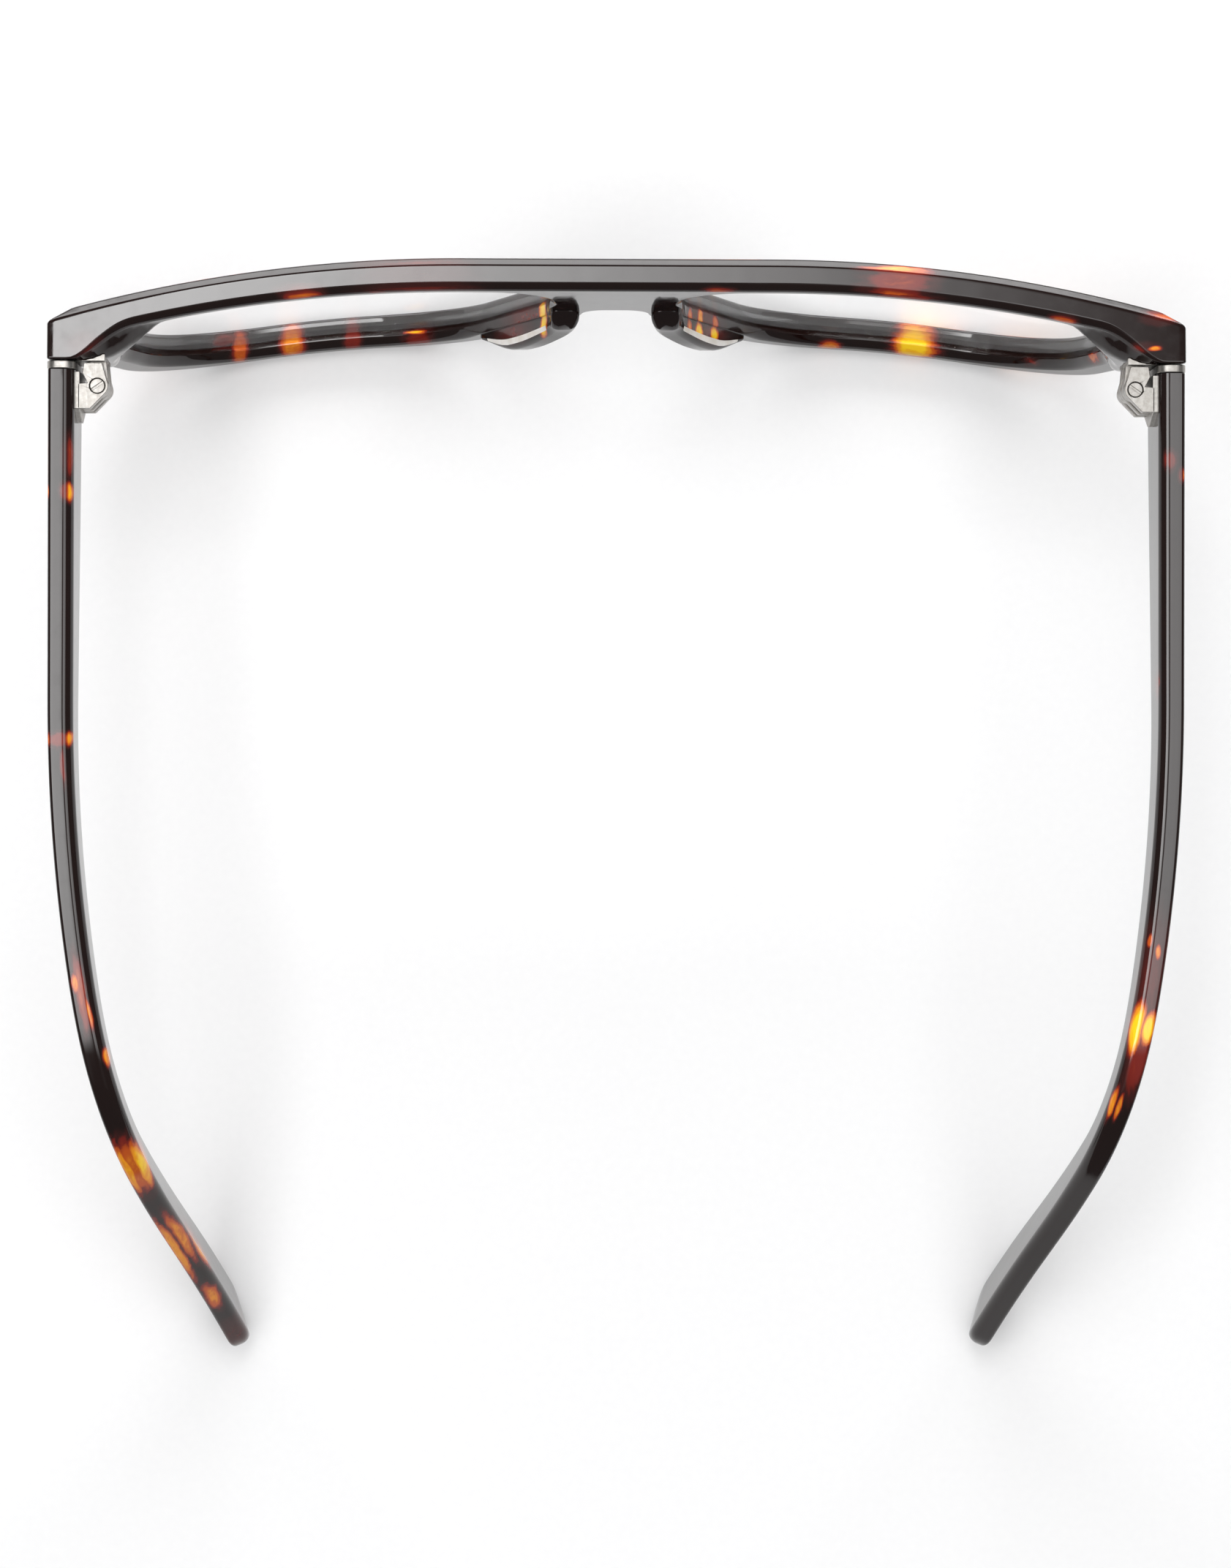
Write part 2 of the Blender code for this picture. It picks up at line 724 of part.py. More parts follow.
def temple_point(t, z, inwards):
    """The point t along the plan and z up, that far in from the outer face."""
    k = min(max(int(t // PLAN_STEP), 0), len(TEMPLE_PLAN) - 2)
    at = TEMPLE_PLAN[k] + (TEMPLE_PLAN[k + 1] - TEMPLE_PLAN[k]) * (t / PLAN_STEP - k)
    heading = temple_heading(t)
    return Vector((at.x - inwards * cos(heading), at.y - inwards * sin(heading), z))


def temple_profile(stations):
    """For each s: t and z of the temple's upper edge, and how steeply it falls."""
    found = []
    t = 0.0
    z = TEMPLE_TOP
    s = 0.0
    for target in stations:
        steps = ceil(abs(target - s) / PLAN_STEP)
        for k in range(steps):
            step = (target - s) / steps
            pitch = PITCH_END * ramp(s + (k + 0.5) * step, PITCH_START, PITCH_FULL)
            t += step * cos(pitch)
            z -= step * sin(pitch)
        s = target
        found.append((t, z, PITCH_END * ramp(s, PITCH_START, PITCH_FULL)))
    return found


def temple_section(height, thickness):
    """Corner-rounded cross-section as (down, inwards) from the upper outer corner."""
    corners = (
        (0.0, 0.0, OUTER_RADIUS, 2, 1),
        (0.0, thickness, INNER_RADIUS, 3, 1),
        (height, thickness, INNER_RADIUS, 3, 1),
        (height, 0.0, OUTER_RADIUS, 2, 1),
    )
    return loop(corners)


def temple_stations():
    straight = [0.0, 8.0, 18.0, 30.0, 42.0, 52.0]
    bent = [52.0 + 4.5 * k for k in range(1, 22)]
    round_tip = [TEMPLE_LENGTH - TIP_RADIUS * (1 - sin(radians(a))) for a in (0, 30, 52, 70, 84)]
    return straight + [s for s in bent if s < round_tip[0] - 2] + round_tip


def make_temple():
    stations = temple_stations()
    skin = Skin()
    rings = []
    for s, (t, z, pitch) in zip(stations, temple_profile(stations)):
        beyond = max(s - (TEMPLE_LENGTH - TIP_RADIUS), 0.0)
        pull = TIP_RADIUS - sqrt(TIP_RADIUS**2 - beyond**2)
        thin = TIP_THINNING * pull
        thickness = TEMPLE_THICKNESS + (TIP_THICKNESS - TEMPLE_THICKNESS) * s / TEMPLE_LENGTH
        ring = []
        for down, inwards in temple_section(temple_height(s) - 2 * pull, thickness - 2 * thin):
            down += pull
            ring.append(temple_point(t - down * sin(pitch), z - down * cos(pitch), inwards + thin))
        rings.append(ring)
    skin.close(*skin.sweep(rings))
    temple = make_object("temple_left", skin, acetate("temple_left"))
    pocket = prism(strip_outline(LEAF_GAP), -2.0, STRIP_OUTER + LEAF_GAP, "X")
    bore = core_tube(CORE_BORE_RADIUS, -1.5, CORE_END + 1.0)
    return combine(temple, "DIFFERENCE", [hinge_shift(pocket), bore])


def core_tube(radius, start, end):
    """A tube along the middle of the temple's height, at an even distance from its outside."""
    steps = 28
    sides = 8
    stations = [start + (end - start) * k / steps for k in range(steps + 1)]
    skin = Skin()
    rings = []
    for s, (t, z, pitch) in zip(stations, temple_profile(stations)):
        ring = []
        for k in range(sides):
            angle = 2 * pi * (k + 0.5) / sides
            down = temple_height(s) / 2 + radius * cos(angle)
            inwards = CORE_FROM_OUTSIDE + radius * sin(angle)
            ring.append(temple_point(t - down * sin(pitch), z - down * cos(pitch), inwards))
        rings.append(ring)
    skin.close(*skin.sweep(rings))
    return skin


def make_core_wire():
    return make_object("core_wire_left", core_tube(CORE_RADIUS, 2.0, CORE_END), nickel("core_wire_left"))


def make_end_plate():
    """A metal plate with rounded corners over the temple's front end."""
    proud = END_PLATE_PROUD
    height = temple_height(0)
    corners = (
        (TEMPLE_X + proud, TEMPLE_TOP + proud, END_PLATE_ROUND, 4, 1),
        (TEMPLE_X + proud, TEMPLE_TOP - height - proud, END_PLATE_ROUND, 4, 1),
        (TEMPLE_X - TEMPLE_THICKNESS - proud, TEMPLE_TOP - height - proud, END_PLATE_ROUND, 4, 1),
        (TEMPLE_X - TEMPLE_THICKNESS - proud, TEMPLE_TOP + proud, END_PLATE_ROUND, 4, 1),
    )
    front = HINGE_FLAT_Y + END_PLATE_GAP
    plate = prism(loop(corners), front, front + END_PLATE_THICKNESS, "Y")
    return make_object("temple_end_plate_left", plate, nickel("temple_end_plate_left"))


# Assembly


def hang(pieces, side, sign):
    """Parents a temple's pieces to an empty on its hinge axis."""
    pivot = Vector((sign * PIVOT_X, PIVOT_Y, (HINGE_FOOT + HINGE_TOP) / 2)) * MM
    axis = bpy.data.objects.new(f"hinge_axis_{side}", None)
    axis.location = pivot
    axis.empty_display_size = 10 * MM
    bpy.context.scene.collection.objects.link(axis)
    for piece in pieces:
        piece.data.transform(Matrix.Translation(-pivot))
        piece.parent = axis


def main():
    for old in list(bpy.data.objects):
        bpy.data.objects.remove(old)
    make_front()
    fixed = [
        (make_lens(), clear_lens),
        (make_nose_pad(), acetate),
        (make_front_leaf(), nickel),
    ]
    moving = [
        (make_temple(), acetate),
        (make_end_plate(), nickel),
        (make_temple_leaf(), nickel),
        (make_screw(), nickel),
        (make_core_wire(), nickel),
    ]
    copies = []
    for piece, material in fixed + moving:
        name = piece.name.replace("_left", "_right")
        copies.append(mirrored(piece, name, material(name)))
    hang([piece for piece, _ in moving], "left", 1)
    hang(copies[len(fixed):], "right", -1)
    bpy.context.view_layer.update()


main()
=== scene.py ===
"""Looks for the open acetate eyeglasses: tortoiseshell front and temples, demo lenses, nickel hinges.

Shapes are worked out in millimetres in the frame's own axes, and stored in metres: -Y is the front,
+Y runs back along the temples, +X is the wearer's left, and z = 0 is the table.
"""

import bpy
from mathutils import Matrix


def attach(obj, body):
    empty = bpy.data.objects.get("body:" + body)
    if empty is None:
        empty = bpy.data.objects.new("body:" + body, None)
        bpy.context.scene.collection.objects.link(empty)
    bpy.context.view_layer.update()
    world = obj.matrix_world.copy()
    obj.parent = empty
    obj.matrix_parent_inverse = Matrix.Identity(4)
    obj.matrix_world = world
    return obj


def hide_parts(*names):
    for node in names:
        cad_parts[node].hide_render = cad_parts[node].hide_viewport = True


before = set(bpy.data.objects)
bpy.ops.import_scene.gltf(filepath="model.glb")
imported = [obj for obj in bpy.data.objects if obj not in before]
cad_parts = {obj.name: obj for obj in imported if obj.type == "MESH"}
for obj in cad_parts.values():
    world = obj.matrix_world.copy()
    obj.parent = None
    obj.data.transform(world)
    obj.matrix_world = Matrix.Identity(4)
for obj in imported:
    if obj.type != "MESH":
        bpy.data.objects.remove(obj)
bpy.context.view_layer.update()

from math import acos, atan2, ceil, cos, hypot, pi, radians, sin, sqrt, tan

import bmesh
import bpy
from mathutils import Matrix, Vector
from mathutils.geometry import delaunay_2d_cdt

MM = 0.001
SHARP = radians(40)
BEVELLED = radians(35)

# Front, in its own plane: u across from the middle, v up from the lower rims, w back from the face
FRONT_HEIGHT = 46.0
FRONT_HALF_WIDTH = 72.5
FRONT_DEPTH = 4.2
FRONT_Y = -71.68
FRONT_TILT = radians(3.5)
FLAT_HALF_WIDTH = 20.0
WRAP_RADIUS = 190.0
REST_CUT = 0.3
BEVEL_HEIGHT = 0.7
BEVEL_SIDE = 3.2
BEVEL_DEPTH = 1.0
REAR_ROUND = 1.0
REAR_ROUND_LEAST = 0.2
REAR_EASE_U = (66.0, 70.0)
REAR_EASE_V = (28.0, 32.0)
UNDER_PAD_ROUND = 0.06
APERTURE_REAR_ROUND = 1.15
END_PIECE_FOOT = 33.2
HINGE_FLAT_Y = -58.5
S_START = 60.5
S_END = 69.8
S_START_BELOW = 57.0
S_END_BELOW = 67.5
S_FOOT = 24.0
S_SHOULDER = 32.0
S_LOWER_FROM = 0.5
S_LOWER_BY = 3.5
S_POWER_TOP = 1.8
S_POWER_BELOW = 1.0

# A rounded edge starts and ends this many degrees off its flats, with a thin strip along each flat
CRISP = 32
SUPPORT = 0.08
REAR_TURNS = (-12, 0, 12, 24, 36, 48, 60, 72, 82, 90, 102)
APERTURE_TURNS = (-12, 0, 22, 45, 68, 90, 102)
FACE_SPACING = 1.5
BACK_SPACING = 0.9

# Lens and its groove
GROOVE_W = 1.9
GROOVE_HALF_WIDTH = 0.95
GROOVE_DEPTH = 0.9
LENS_THICKNESS = 1.6
LENS_RISE = 0.8
LENS_TIP = 0.5
LENS_LAND = 0.3
LENS_CENTRE = (36.5, 23.0)
LENS_RINGS = 10

# Nose pad, and the spans of u and v over which the rim's rear edge eases to meet it
PAD_HEIGHT = 3.1
PAD_TOP = 30.2
PAD_TAIL_V = (8.0, 17.5)
PAD_TAIL_SHARE = 0.12
PAD_EDGE_SHARE = 0.08
PAD_EASE_U = (17.0, 21.0)
PAD_EASE_V = (5.0, 9.0)
PAD_EASE_TOP = (31.5, 35.5)

# Hinge
PIVOT_X = 66.3
PIVOT_Y = -55.3
HINGE_FOOT = 35.7
KNUCKLES = 5
KNUCKLE_HEIGHT = 1.52
KNUCKLE_GAP = 0.1
KNUCKLE_RADIUS = 1.38
SCREW_HEAD_RADIUS = 0.9
SCREW_HEAD_DEPTH = 0.6
HEAD_BORE_RADIUS = 1.0
SHANK_RADIUS = 0.65
SCREW_SUNK = 0.04
SLOT_DEPTH = 0.29
SLOT_WIDTH = 0.3
SLOT_TURN = radians(35 + 90)
LEAF_THICKNESS = 0.9
LEAF_PROUD = 0.05
FRONT_LEAF_INNER = -1.0
FRONT_LEAF_OUTER = 3.5
FRONT_NECK = 1.0
KNUCKLE_REAR = 2.9
STOP_GAP = 0.2
STRIP_INNER = 2.2
STRIP_OUTER = 3.2
STRIP_TAIL = 4.4

# Temple
TEMPLE_X = 72.4
TEMPLE_TOP = 45.7
TEMPLE_LENGTH = 151.3
TEMPLE_THICKNESS = 3.3
TIP_THICKNESS = 3.0
OUTER_RADIUS = 0.5
INNER_RADIUS = 1.4
TIP_RADIUS = 5.0
TIP_THINNING = 0.22
ROOT_HEIGHT = 12.6
SHAFT_HEIGHT = 6.8
TIP_HEIGHT = 10.4
TAPER_SHARE = 0.8
TAPER = (-10, 66)
LATER_TAPER = (60, 95)
WIDENING = (98, 138)
PITCH_START = 85.0
PITCH_FULL = 108.0
PITCH_END = radians(47.19)
HEADING_MIDDLE = radians(9.0)
HEADING_END = radians(26.0)
HEADING_EASE = radians(3.5)
FIRST_BEND = (42, 79)
SECOND_BEND = (79, 114)
LAST_BEND = (118, 130)
PLAN_STEP = 0.5
END_PLATE_THICKNESS = 1.0
END_PLATE_GAP = 0.15
END_PLATE_PROUD = 0.15
END_PLATE_ROUND = 1.3

HINGE_TOP = HINGE_FOOT + KNUCKLES * KNUCKLE_HEIGHT + (KNUCKLES - 1) * KNUCKLE_GAP
TEMPLE_START = HINGE_FLAT_Y + END_PLATE_GAP + END_PLATE_THICKNESS + 0.1

# Corner: u, v, radius, steps round the corner, steps along the edge to the next corner
FRONT_CORNERS = (
    (FRONT_HALF_WIDTH, FRONT_HEIGHT, 0.4, 4, 8),
    (FRONT_HALF_WIDTH, END_PIECE_FOOT, 1.8, 6, 2),
    (69.0, 31.5, 4.0, 6, 5),
    (68.4, 22.0, 25.0, 8, 7),
    (62.5, 0.0, 19.0, 20, 18),
    (20.5, 0.0, 17.0, 18, 12),
    (4.6, 26.0, 10.0, 8, 3),
    (4.0, 30.7, 3.5, 9, 5),
)
TOP_STEPS = 220
APERTURE_CORNERS = (
    (63.6, 43.0, 9.0, 18, 5),
    (64.6, 24.0, 25.0, 6, 5),
    (59.0, 3.3, 17.0, 18, 14),
    (22.0, 3.3, 18.0, 15, 8),
    (8.8, 27.0, 12.0, 6, 4),
    (8.6, 43.0, 8.0, 16, 22),
)
PAD_CORNERS = (
    (8.4, PAD_TOP, 1.0, 8, 10),
    (8.5, 27.0, 12.0, 8, 12),
    (18.6, 9.0, 1.7, 8, 3),
    (15.6, 8.0, 1.3, 8, 12),
    (4.9, 25.6, 9.0, 8, 10),
    (4.6, PAD_TOP, 1.3, 8, 4),
)


def smooth(value, low, high):
    """0 below low, 1 above high, and an S between them."""
    t = min(max((value - low) / (high - low), 0.0), 1.0)
    return t * t * (3 - 2 * t)


def ramp(value, low, high):
    return min(max((value - low) / (high - low), 0.0), 1.0)


# The share of the pad's height gained, between two distances below its upper end
PAD_RISES = (
    (ramp, 0.38, 0.0, 0.8),
    (ramp, 0.24, 0.8, 1.6),
    (smooth, 0.30, 1.5, 11.0),
)


def loop(corners, inset=0.0):
    """Points round a polygon with rounded corners, moved inwards by inset, one distance or one per edge.

    Every inset gives the same number of points, so that two loops can be bridged.
    """
    count = len(corners)
    insets = inset if isinstance(inset, (list, tuple)) else [inset] * count
    at = [Vector(corner[:2]) for corner in corners]
    side = 1 if winding(at) > 0 else -1
    ways = [(at[(i + 1) % count] - at[i]).normalized() for i in range(count)]
    starts = [at[i] + side * insets[i] * Vector((-ways[i].y, ways[i].x)) for i in range(count)]
    moved = []
    turns = []
    reach = []
    for i in range(count):
        before = ways[i - 1]
        after = ways[i]
        along = (starts[i] - starts[i - 1]).cross(after) / before.cross(after)
        moved.append(starts[i - 1] + before * along)
        turn = atan2(before.cross(after), before.dot(after))
        mean = (insets[i - 1] + insets[i]) / 2
        radius = corners[i][2] - mean * (1 if turn * side > 0 else -1)
        turns.append(turn)
        reach.append(max(radius, 0.15) * tan(abs(turn) / 2))
    for i in range(count):
        after = (i + 1) % count
        room = 0.98 * (moved[after] - moved[i]).length
        if reach[i] + reach[after] > room:
            share = room / (reach[i] + reach[after])
            reach[i] *= share
            reach[after] *= share
    points = []
    for i in range(count):
        start = moved[i] - ways[i - 1] * reach[i]
        radius = reach[i] / tan(abs(turns[i]) / 2)
        towards = 1 if turns[i] > 0 else -1
        centre = start + towards * radius * Vector((-ways[i - 1].y, ways[i - 1].x))
        steps = corners[i][3]
        for k in range(steps + 1):
            points.append(centre + Matrix.Rotation(turns[i] * k / steps, 2) @ (start - centre))
        after = (i + 1) % count
        end = moved[after] - ways[i] * reach[after]
        for k in range(1, corners[i][4]):
            points.append(points[-1].lerp(end, 1 / (corners[i][4] - k + 1)))
    return points


def both_sides(corners):
    """The corners of the whole outline, from those of its +u half."""
    left = []
    for i in range(len(corners) - 1, -1, -1):
        u, v, radius, steps, _ = corners[i]
        left.append((-u, v, radius, steps, corners[i - 1][4] if i else TOP_STEPS))
    return list(corners) + left


def winding(points):
    """Twice a loop's area, positive when it runs anticlockwise."""
    return sum(points[i - 1].cross(point) for i, point in enumerate(points))


def inside(point, ring):
    """Whether a point is inside a loop of points."""
    found = False
    for i, a in enumerate(ring):
        b = ring[i - 1]
        if (a.y > point.y) != (b.y > point.y):
            if point.x < a.x + (b.x - a.x) * (point.y - a.y) / (b.y - a.y):
                found = not found
    return found


def circle(radius, sides):
    angles = [2 * pi * k / sides for k in range(sides)]
    return [Vector((radius * cos(a), radius * sin(a))) for a in angles]


class Skin:
    """The vertices and faces of a surface, in millimetres, and which faces take its second material."""

    def __init__(self):
        self.points = []
        self.faces = []
        self.second = set()

    def ring(self, points):
        first = len(self.points)
        self.points += [Vector(point) for point in points]
        return list(range(first, len(self.points)))

    def bridge(self, a, b):
        count = len(a)
        for i in range(count):
            j = (i + 1) % count
            self.faces.append((a[i], a[j], b[j], b[i]))

    def sweep(self, rings):
        """Bridges one ring to the next, and gives the numbers of the first and the last."""
        numbers = [self.ring(points) for points in rings]
        for a, b in zip(numbers, numbers[1:]):
            self.bridge(a, b)
        return numbers[0], numbers[-1]

    def close(self, *rings):
        """Fans each ring from its middle."""
        for ring in rings:
            self.fan(ring, sum((self.points[k] for k in ring), Vector((0, 0, 0))) / len(ring))

    def fan(self, ring, point):
        centre = self.ring([point])[0]
        for i, a in enumerate(ring):
            self.faces.append((ring[i - 1], a, centre))

    def fill(self, rings, flats, extra=(), place=None):
        """Triangles between an outer ring and the rings of its holes, through extra points inside.

        flats holds each ring's points in the plane, and place puts an extra point in space.
        """
        numbers = [number for ring in rings for number in ring]
        numbers += self.ring([place(point) for point in extra])
        flat = [point for ring in flats for point in ring] + list(extra)
        walls = []
        first = 0
        for ring in flats:
            walls += [(first + i, first + (i + 1) % len(ring)) for i in range(len(ring))]
            first += len(ring)
        made = delaunay_2d_cdt(flat, walls, [], 0, 1e-6)
        faces = [tuple(made[3][k][0] for k in face) for face in made[2]]
        owner = {(a, b): face for face in faces for a, b in zip(face, face[1:] + face[:1])}
        outer = walls[: len(flats[0])]
        if winding(flats[0]) < 0:
            outer = [(b, a) for a, b in outer]
        closed = set(walls) | {(b, a) for a, b in walls}
        wanted = {owner[edge] for edge in outer}
        front = list(wanted)
        while front:
            face = front.pop()
            for a, b in zip(face, face[1:] + face[:1]):
                beyond = owner.get((b, a))
                if (a, b) not in closed and beyond and beyond not in wanted:
                    wanted.add(beyond)
                    front.append(beyond)
        self.faces += [tuple(numbers[k] for k in face) for face in faces if face in wanted]

    def add(self, other):
        """Takes in another skin's points and faces."""
        first = len(self.points)
        self.points += other.points
        self.faces += [tuple(first + k for k in face) for face in other.faces]
        return self

    def mirror(self):
        self.points = [Vector((-p.x, p.y, p.z)) for p in self.points]
        return self


def make_piece(name, skin, materials, body, slot, nodes, bevel=0.0):
    """One mesh object that rides on a body in place of CAD nodes."""
    shape = bmesh.new()
    points = [shape.verts.new(point * MM) for point in skin.points]
    for i, face in enumerate(skin.faces):
        made = shape.faces.new([points[k] for k in face])
        made.material_index = int(i in skin.second)
    bmesh.ops.delete(shape, geom=[p for p in shape.verts if not p.link_faces], context="VERTS")
    bmesh.ops.recalc_face_normals(shape, faces=shape.faces[:])
    if shape.calc_volume(signed=True) < 0:
        bmesh.ops.reverse_faces(shape, faces=shape.faces[:])
    mesh = bpy.data.meshes.new(name)
    shape.to_mesh(mesh)
    shape.free()
    mesh.shade_smooth()
    mesh.set_sharp_from_angle(angle=SHARP)
    for material in materials:
        mesh.materials.append(material)
    made = bpy.data.objects.new(name, mesh)
    bpy.context.scene.collection.objects.link(made)
    if slot == "acetate":
        made.modifiers.new("shading", "WEIGHTED_NORMAL").keep_sharp = True
    if bevel:
        modifier = made.modifiers.new("edges", "BEVEL")
        modifier.width = bevel * MM
        modifier.segments = 3
        modifier.limit_method = "ANGLE"
        modifier.angle_limit = BEVELLED
        modifier.harden_normals = True
    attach(made, body)
    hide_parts(*nodes)
    return made


def prism(outline, low, high, axis="Z"):
    """An outline carried from low to high along an axis; the outline's plane is the other two, in order."""
    order = {"X": (2, 0, 1), "Y": (0, 2, 1), "Z": (0, 1, 2)}[axis]
    skin = Skin()
    rings = []
    for level in (low, high):
        ring = [(point[0], point[1], level) for point in outline]
        rings.append([Vector((p[order[0]], p[order[1]], p[order[2]])) for p in ring])
    first, last = skin.sweep(rings)
    skin.faces += [tuple(first), tuple(last)]
    return skin


def box(low, high):
    corners = [(low[0], low[1]), (high[0], low[1]), (high[0], high[1]), (low[0], high[1])]
    return prism(corners, low[2], high[2])


# Materials


def node(tree, kind, **values):
    made = tree.nodes.new(kind)
    for key, value in values.items():
        setattr(made, key, value)
    return made


def maths(tree, operation, a, b=None, clamp=False):
    made = node(tree, "ShaderNodeMath", operation=operation, use_clamp=clamp)
    for i, value in enumerate((a, b)):
        if value is None:
            continue
        if isinstance(value, (int, float)):
            made.inputs[i].default_value = value
        else:
            tree.links.new(value, made.inputs[i])
    return made.outputs[0]


def vectors(tree, operation, a, b=None):
    made = node(tree, "ShaderNodeVectorMath", operation=operation)
    for i, value in enumerate((a, b)):
        if value is None:
            continue
        if isinstance(value, (tuple, Vector)):
            made.inputs[i].default_value = value
        else:
            tree.links.new(value, made.inputs[i])
    return made.outputs["Value" if operation == "LENGTH" else "Vector"]


def noise(tree, vector, scale, detail=2.0, roughness=0.5):
    made = node(tree, "ShaderNodeTexNoise")
    made.inputs["Scale"].default_value = scale
    made.inputs["Detail"].default_value = detail
    made.inputs["Roughness"].default_value = roughness
    tree.links.new(vector, made.inputs["Vector"])
    return made.outputs


def fade(tree, value, low, high, start=0.0, end=1.0):
    """A smooth step of value from start at low to end at high."""
    made = node(tree, "ShaderNodeMapRange", interpolation_type="SMOOTHSTEP")
    tree.links.new(value, made.inputs["Value"])
    for name, number in (("From Min", low), ("From Max", high), ("To Min", start), ("To Max", end)):
        made.inputs[name].default_value = number
    return made.outputs["Result"]


def blank(name):
    material = bpy.data.materials.new(name)
    material.use_nodes = True
    return material, material.node_tree, material.node_tree.nodes["Principled BSDF"]


# Tortoiseshell's colours, from its dark ground to its brightest flecks
SHADES = (
    (0.0, (0.008, 0.0028, 0.0022)),
    (0.22, (0.035, 0.006, 0.005)),
    (0.42, (0.16, 0.012, 0.007)),
    (0.62, (0.46, 0.075, 0.008)),
    (0.82, (0.74, 0.26, 0.012)),
    (1.0, (0.90, 0.56, 0.012)),
)
# How far the flecks wander off their places, how ragged they are, and how strong on level faces, where they
# are dimmed as painted shade for the light that shines through steep faces from behind
WANDER = 0.9
RAGGED = 0.4
LEVEL_FACE_SHADE_SHARE = 0.42


def tortoiseshell(name, patches, grain, seed, hidden_axis="Y", outwards=-1):
    """Near-black acetate with red to yellow flecks that run along the grain.

    A patch is a middle, three half-widths, a strength and perhaps a turn: a strength of 0.3 is dark
    red, and 1 is yellow. Faces that look outwards along the hidden axis, or down, have clouds as well.
    On faces turned up the flecks are painted weaker, a painted shade for the light that shines through
    steep faces from behind.
    """
    material, tree, shader = blank(name)
    place = node(tree, "ShaderNodeTexCoord").outputs["Object"]
    at = vectors(tree, "MULTIPLY", place, (1 / MM,) * 3)
    bend = vectors(tree, "SUBTRACT", noise(tree, at, 0.22, 1.5)["Color"], (0.5,) * 3)
    bent = vectors(tree, "ADD", at, vectors(tree, "MULTIPLY", bend, (WANDER,) * 3))
    streak = noise(tree, vectors(tree, "MULTIPLY", bent, grain), 1.0, 3.0, 0.6)["Fac"]
    fibre = fade(tree, streak, 0.3, 0.7, -0.3, 0.3)
    total = None
    for middle, half, strength, *turned in patches:
        local = node(tree, "ShaderNodeMapping", vector_type="TEXTURE")
        local.inputs["Location"].default_value = middle
        local.inputs["Rotation"].default_value = turned[0] if turned else (0, 0, 0)
        local.inputs["Scale"].default_value = half
        tree.links.new(bent, local.inputs["Vector"])
        away = vectors(tree, "LENGTH", local.outputs["Vector"])
        ragged = maths(tree, "ADD", away, maths(tree, "MULTIPLY", fibre, RAGGED))
        mask = fade(tree, ragged, 1.35, 0.35)
        level = maths(tree, "MULTIPLY", mask, strength)
        total = level if total is None else maths(tree, "MAXIMUM", total, level)
    moved = vectors(tree, "ADD", vectors(tree, "MULTIPLY", bent, (0.045, 0.045, 0.07)), seed)
    cloud = noise(tree, moved, 1.0, 2.5, 0.55)["Fac"]
    cloud = maths(tree, "ADD", cloud, maths(tree, "MULTIPLY", fibre, 0.06))
    cloud = fade(tree, cloud, 0.57, 0.72, 0.0, 0.95)
    faces = node(tree, "ShaderNodeSeparateXYZ")
    tree.links.new(node(tree, "ShaderNodeNewGeometry").outputs["Normal"], faces.inputs[0])
    shown = fade(tree, faces.outputs[hidden_axis], outwards * 0.8, outwards * 0.97)
    shown = maths(tree, "MAXIMUM", shown, fade(tree, faces.outputs["Z"], -0.2, -0.7))
    total = maths(tree, "MAXIMUM", total, maths(tree, "MULTIPLY", cloud, shown))
    grained = maths(tree, "MULTIPLY", total, fibre)
    total = maths(tree, "ADD", total, maths(tree, "MULTIPLY", grained, 0.3))
    # Painted shade: on faces turned up the flecks keep only part of their strength, as if less light shone
    # through them from behind; steep faces, anything below 38 to 42 mm and the temples beyond 6 to 16 mm
    # back keep them full
    heights = node(tree, "ShaderNodeSeparateXYZ")
    tree.links.new(at, heights.inputs[0])
    steep = fade(tree, faces.outputs["Z"], 0.97, 0.75)
    full = maths(tree, "MAXIMUM", steep, fade(tree, heights.outputs["Z"], 42, 38))
    full = maths(tree, "MAXIMUM", full, fade(tree, heights.outputs["Y"], 6, 16))
    share = maths(tree, "ADD", LEVEL_FACE_SHADE_SHARE, maths(tree, "MULTIPLY", full, 1 - LEVEL_FACE_SHADE_SHARE))
    total = maths(tree, "MULTIPLY", total, share)
    colours = node(tree, "ShaderNodeValToRGB")
    colours.color_ramp.interpolation = "EASE"
    while len(colours.color_ramp.elements) < len(SHADES):
        colours.color_ramp.elements.new(0.5)
    for element, (position, colour) in zip(colours.color_ramp.elements, SHADES):
        element.position = position
        element.color = (*colour, 1)
    tree.links.new(total, colours.inputs["Fac"])
    tree.links.new(colours.outputs["Color"], shader.inputs["Base Color"])
    haze = noise(tree, at, 0.6, 3.0)["Fac"]
    tree.links.new(fade(tree, haze, 0.35, 0.75, 0.045, 0.11), shader.inputs["Roughness"])
    shader.inputs["IOR"].default_value = 1.49
    ripple = node(tree, "ShaderNodeBump")
    ripple.inputs["Strength"].default_value = 0.05
    ripple.inputs["Distance"].default_value = 0.0004
    tree.links.new(noise(tree, at, 0.18, 1.0)["Fac"], ripple.inputs["Height"])
    tree.links.new(ripple.outputs["Normal"], shader.inputs["Normal"])
    return material


def pad_reflection_paint(name):
    """A pale colour, slightly clouded: a painted reflection on the nose pad's steep wall by the lens."""
    material, tree, shader = blank(name)
    place = node(tree, "ShaderNodeTexCoord").outputs["Object"]
    cloud = noise(tree, vectors(tree, "MULTIPLY", place, (1 / MM,) * 3), 0.5, 3.0)["Fac"]
    tint = node(tree, "ShaderNodeMix", data_type="RGBA")
    tint.inputs["A"].default_value = (0.70, 0.66, 0.60, 1)
    tint.inputs["B"].default_value = (0.82, 0.80, 0.77, 1)
    tree.links.new(fade(tree, cloud, 0.3, 0.7), tint.inputs["Factor"])
    tree.links.new(tint.outputs["Result"], shader.inputs["Base Color"])
    tree.links.new(fade(tree, cloud, 0.3, 0.7, 0.08, 0.16), shader.inputs["Roughness"])
    return material


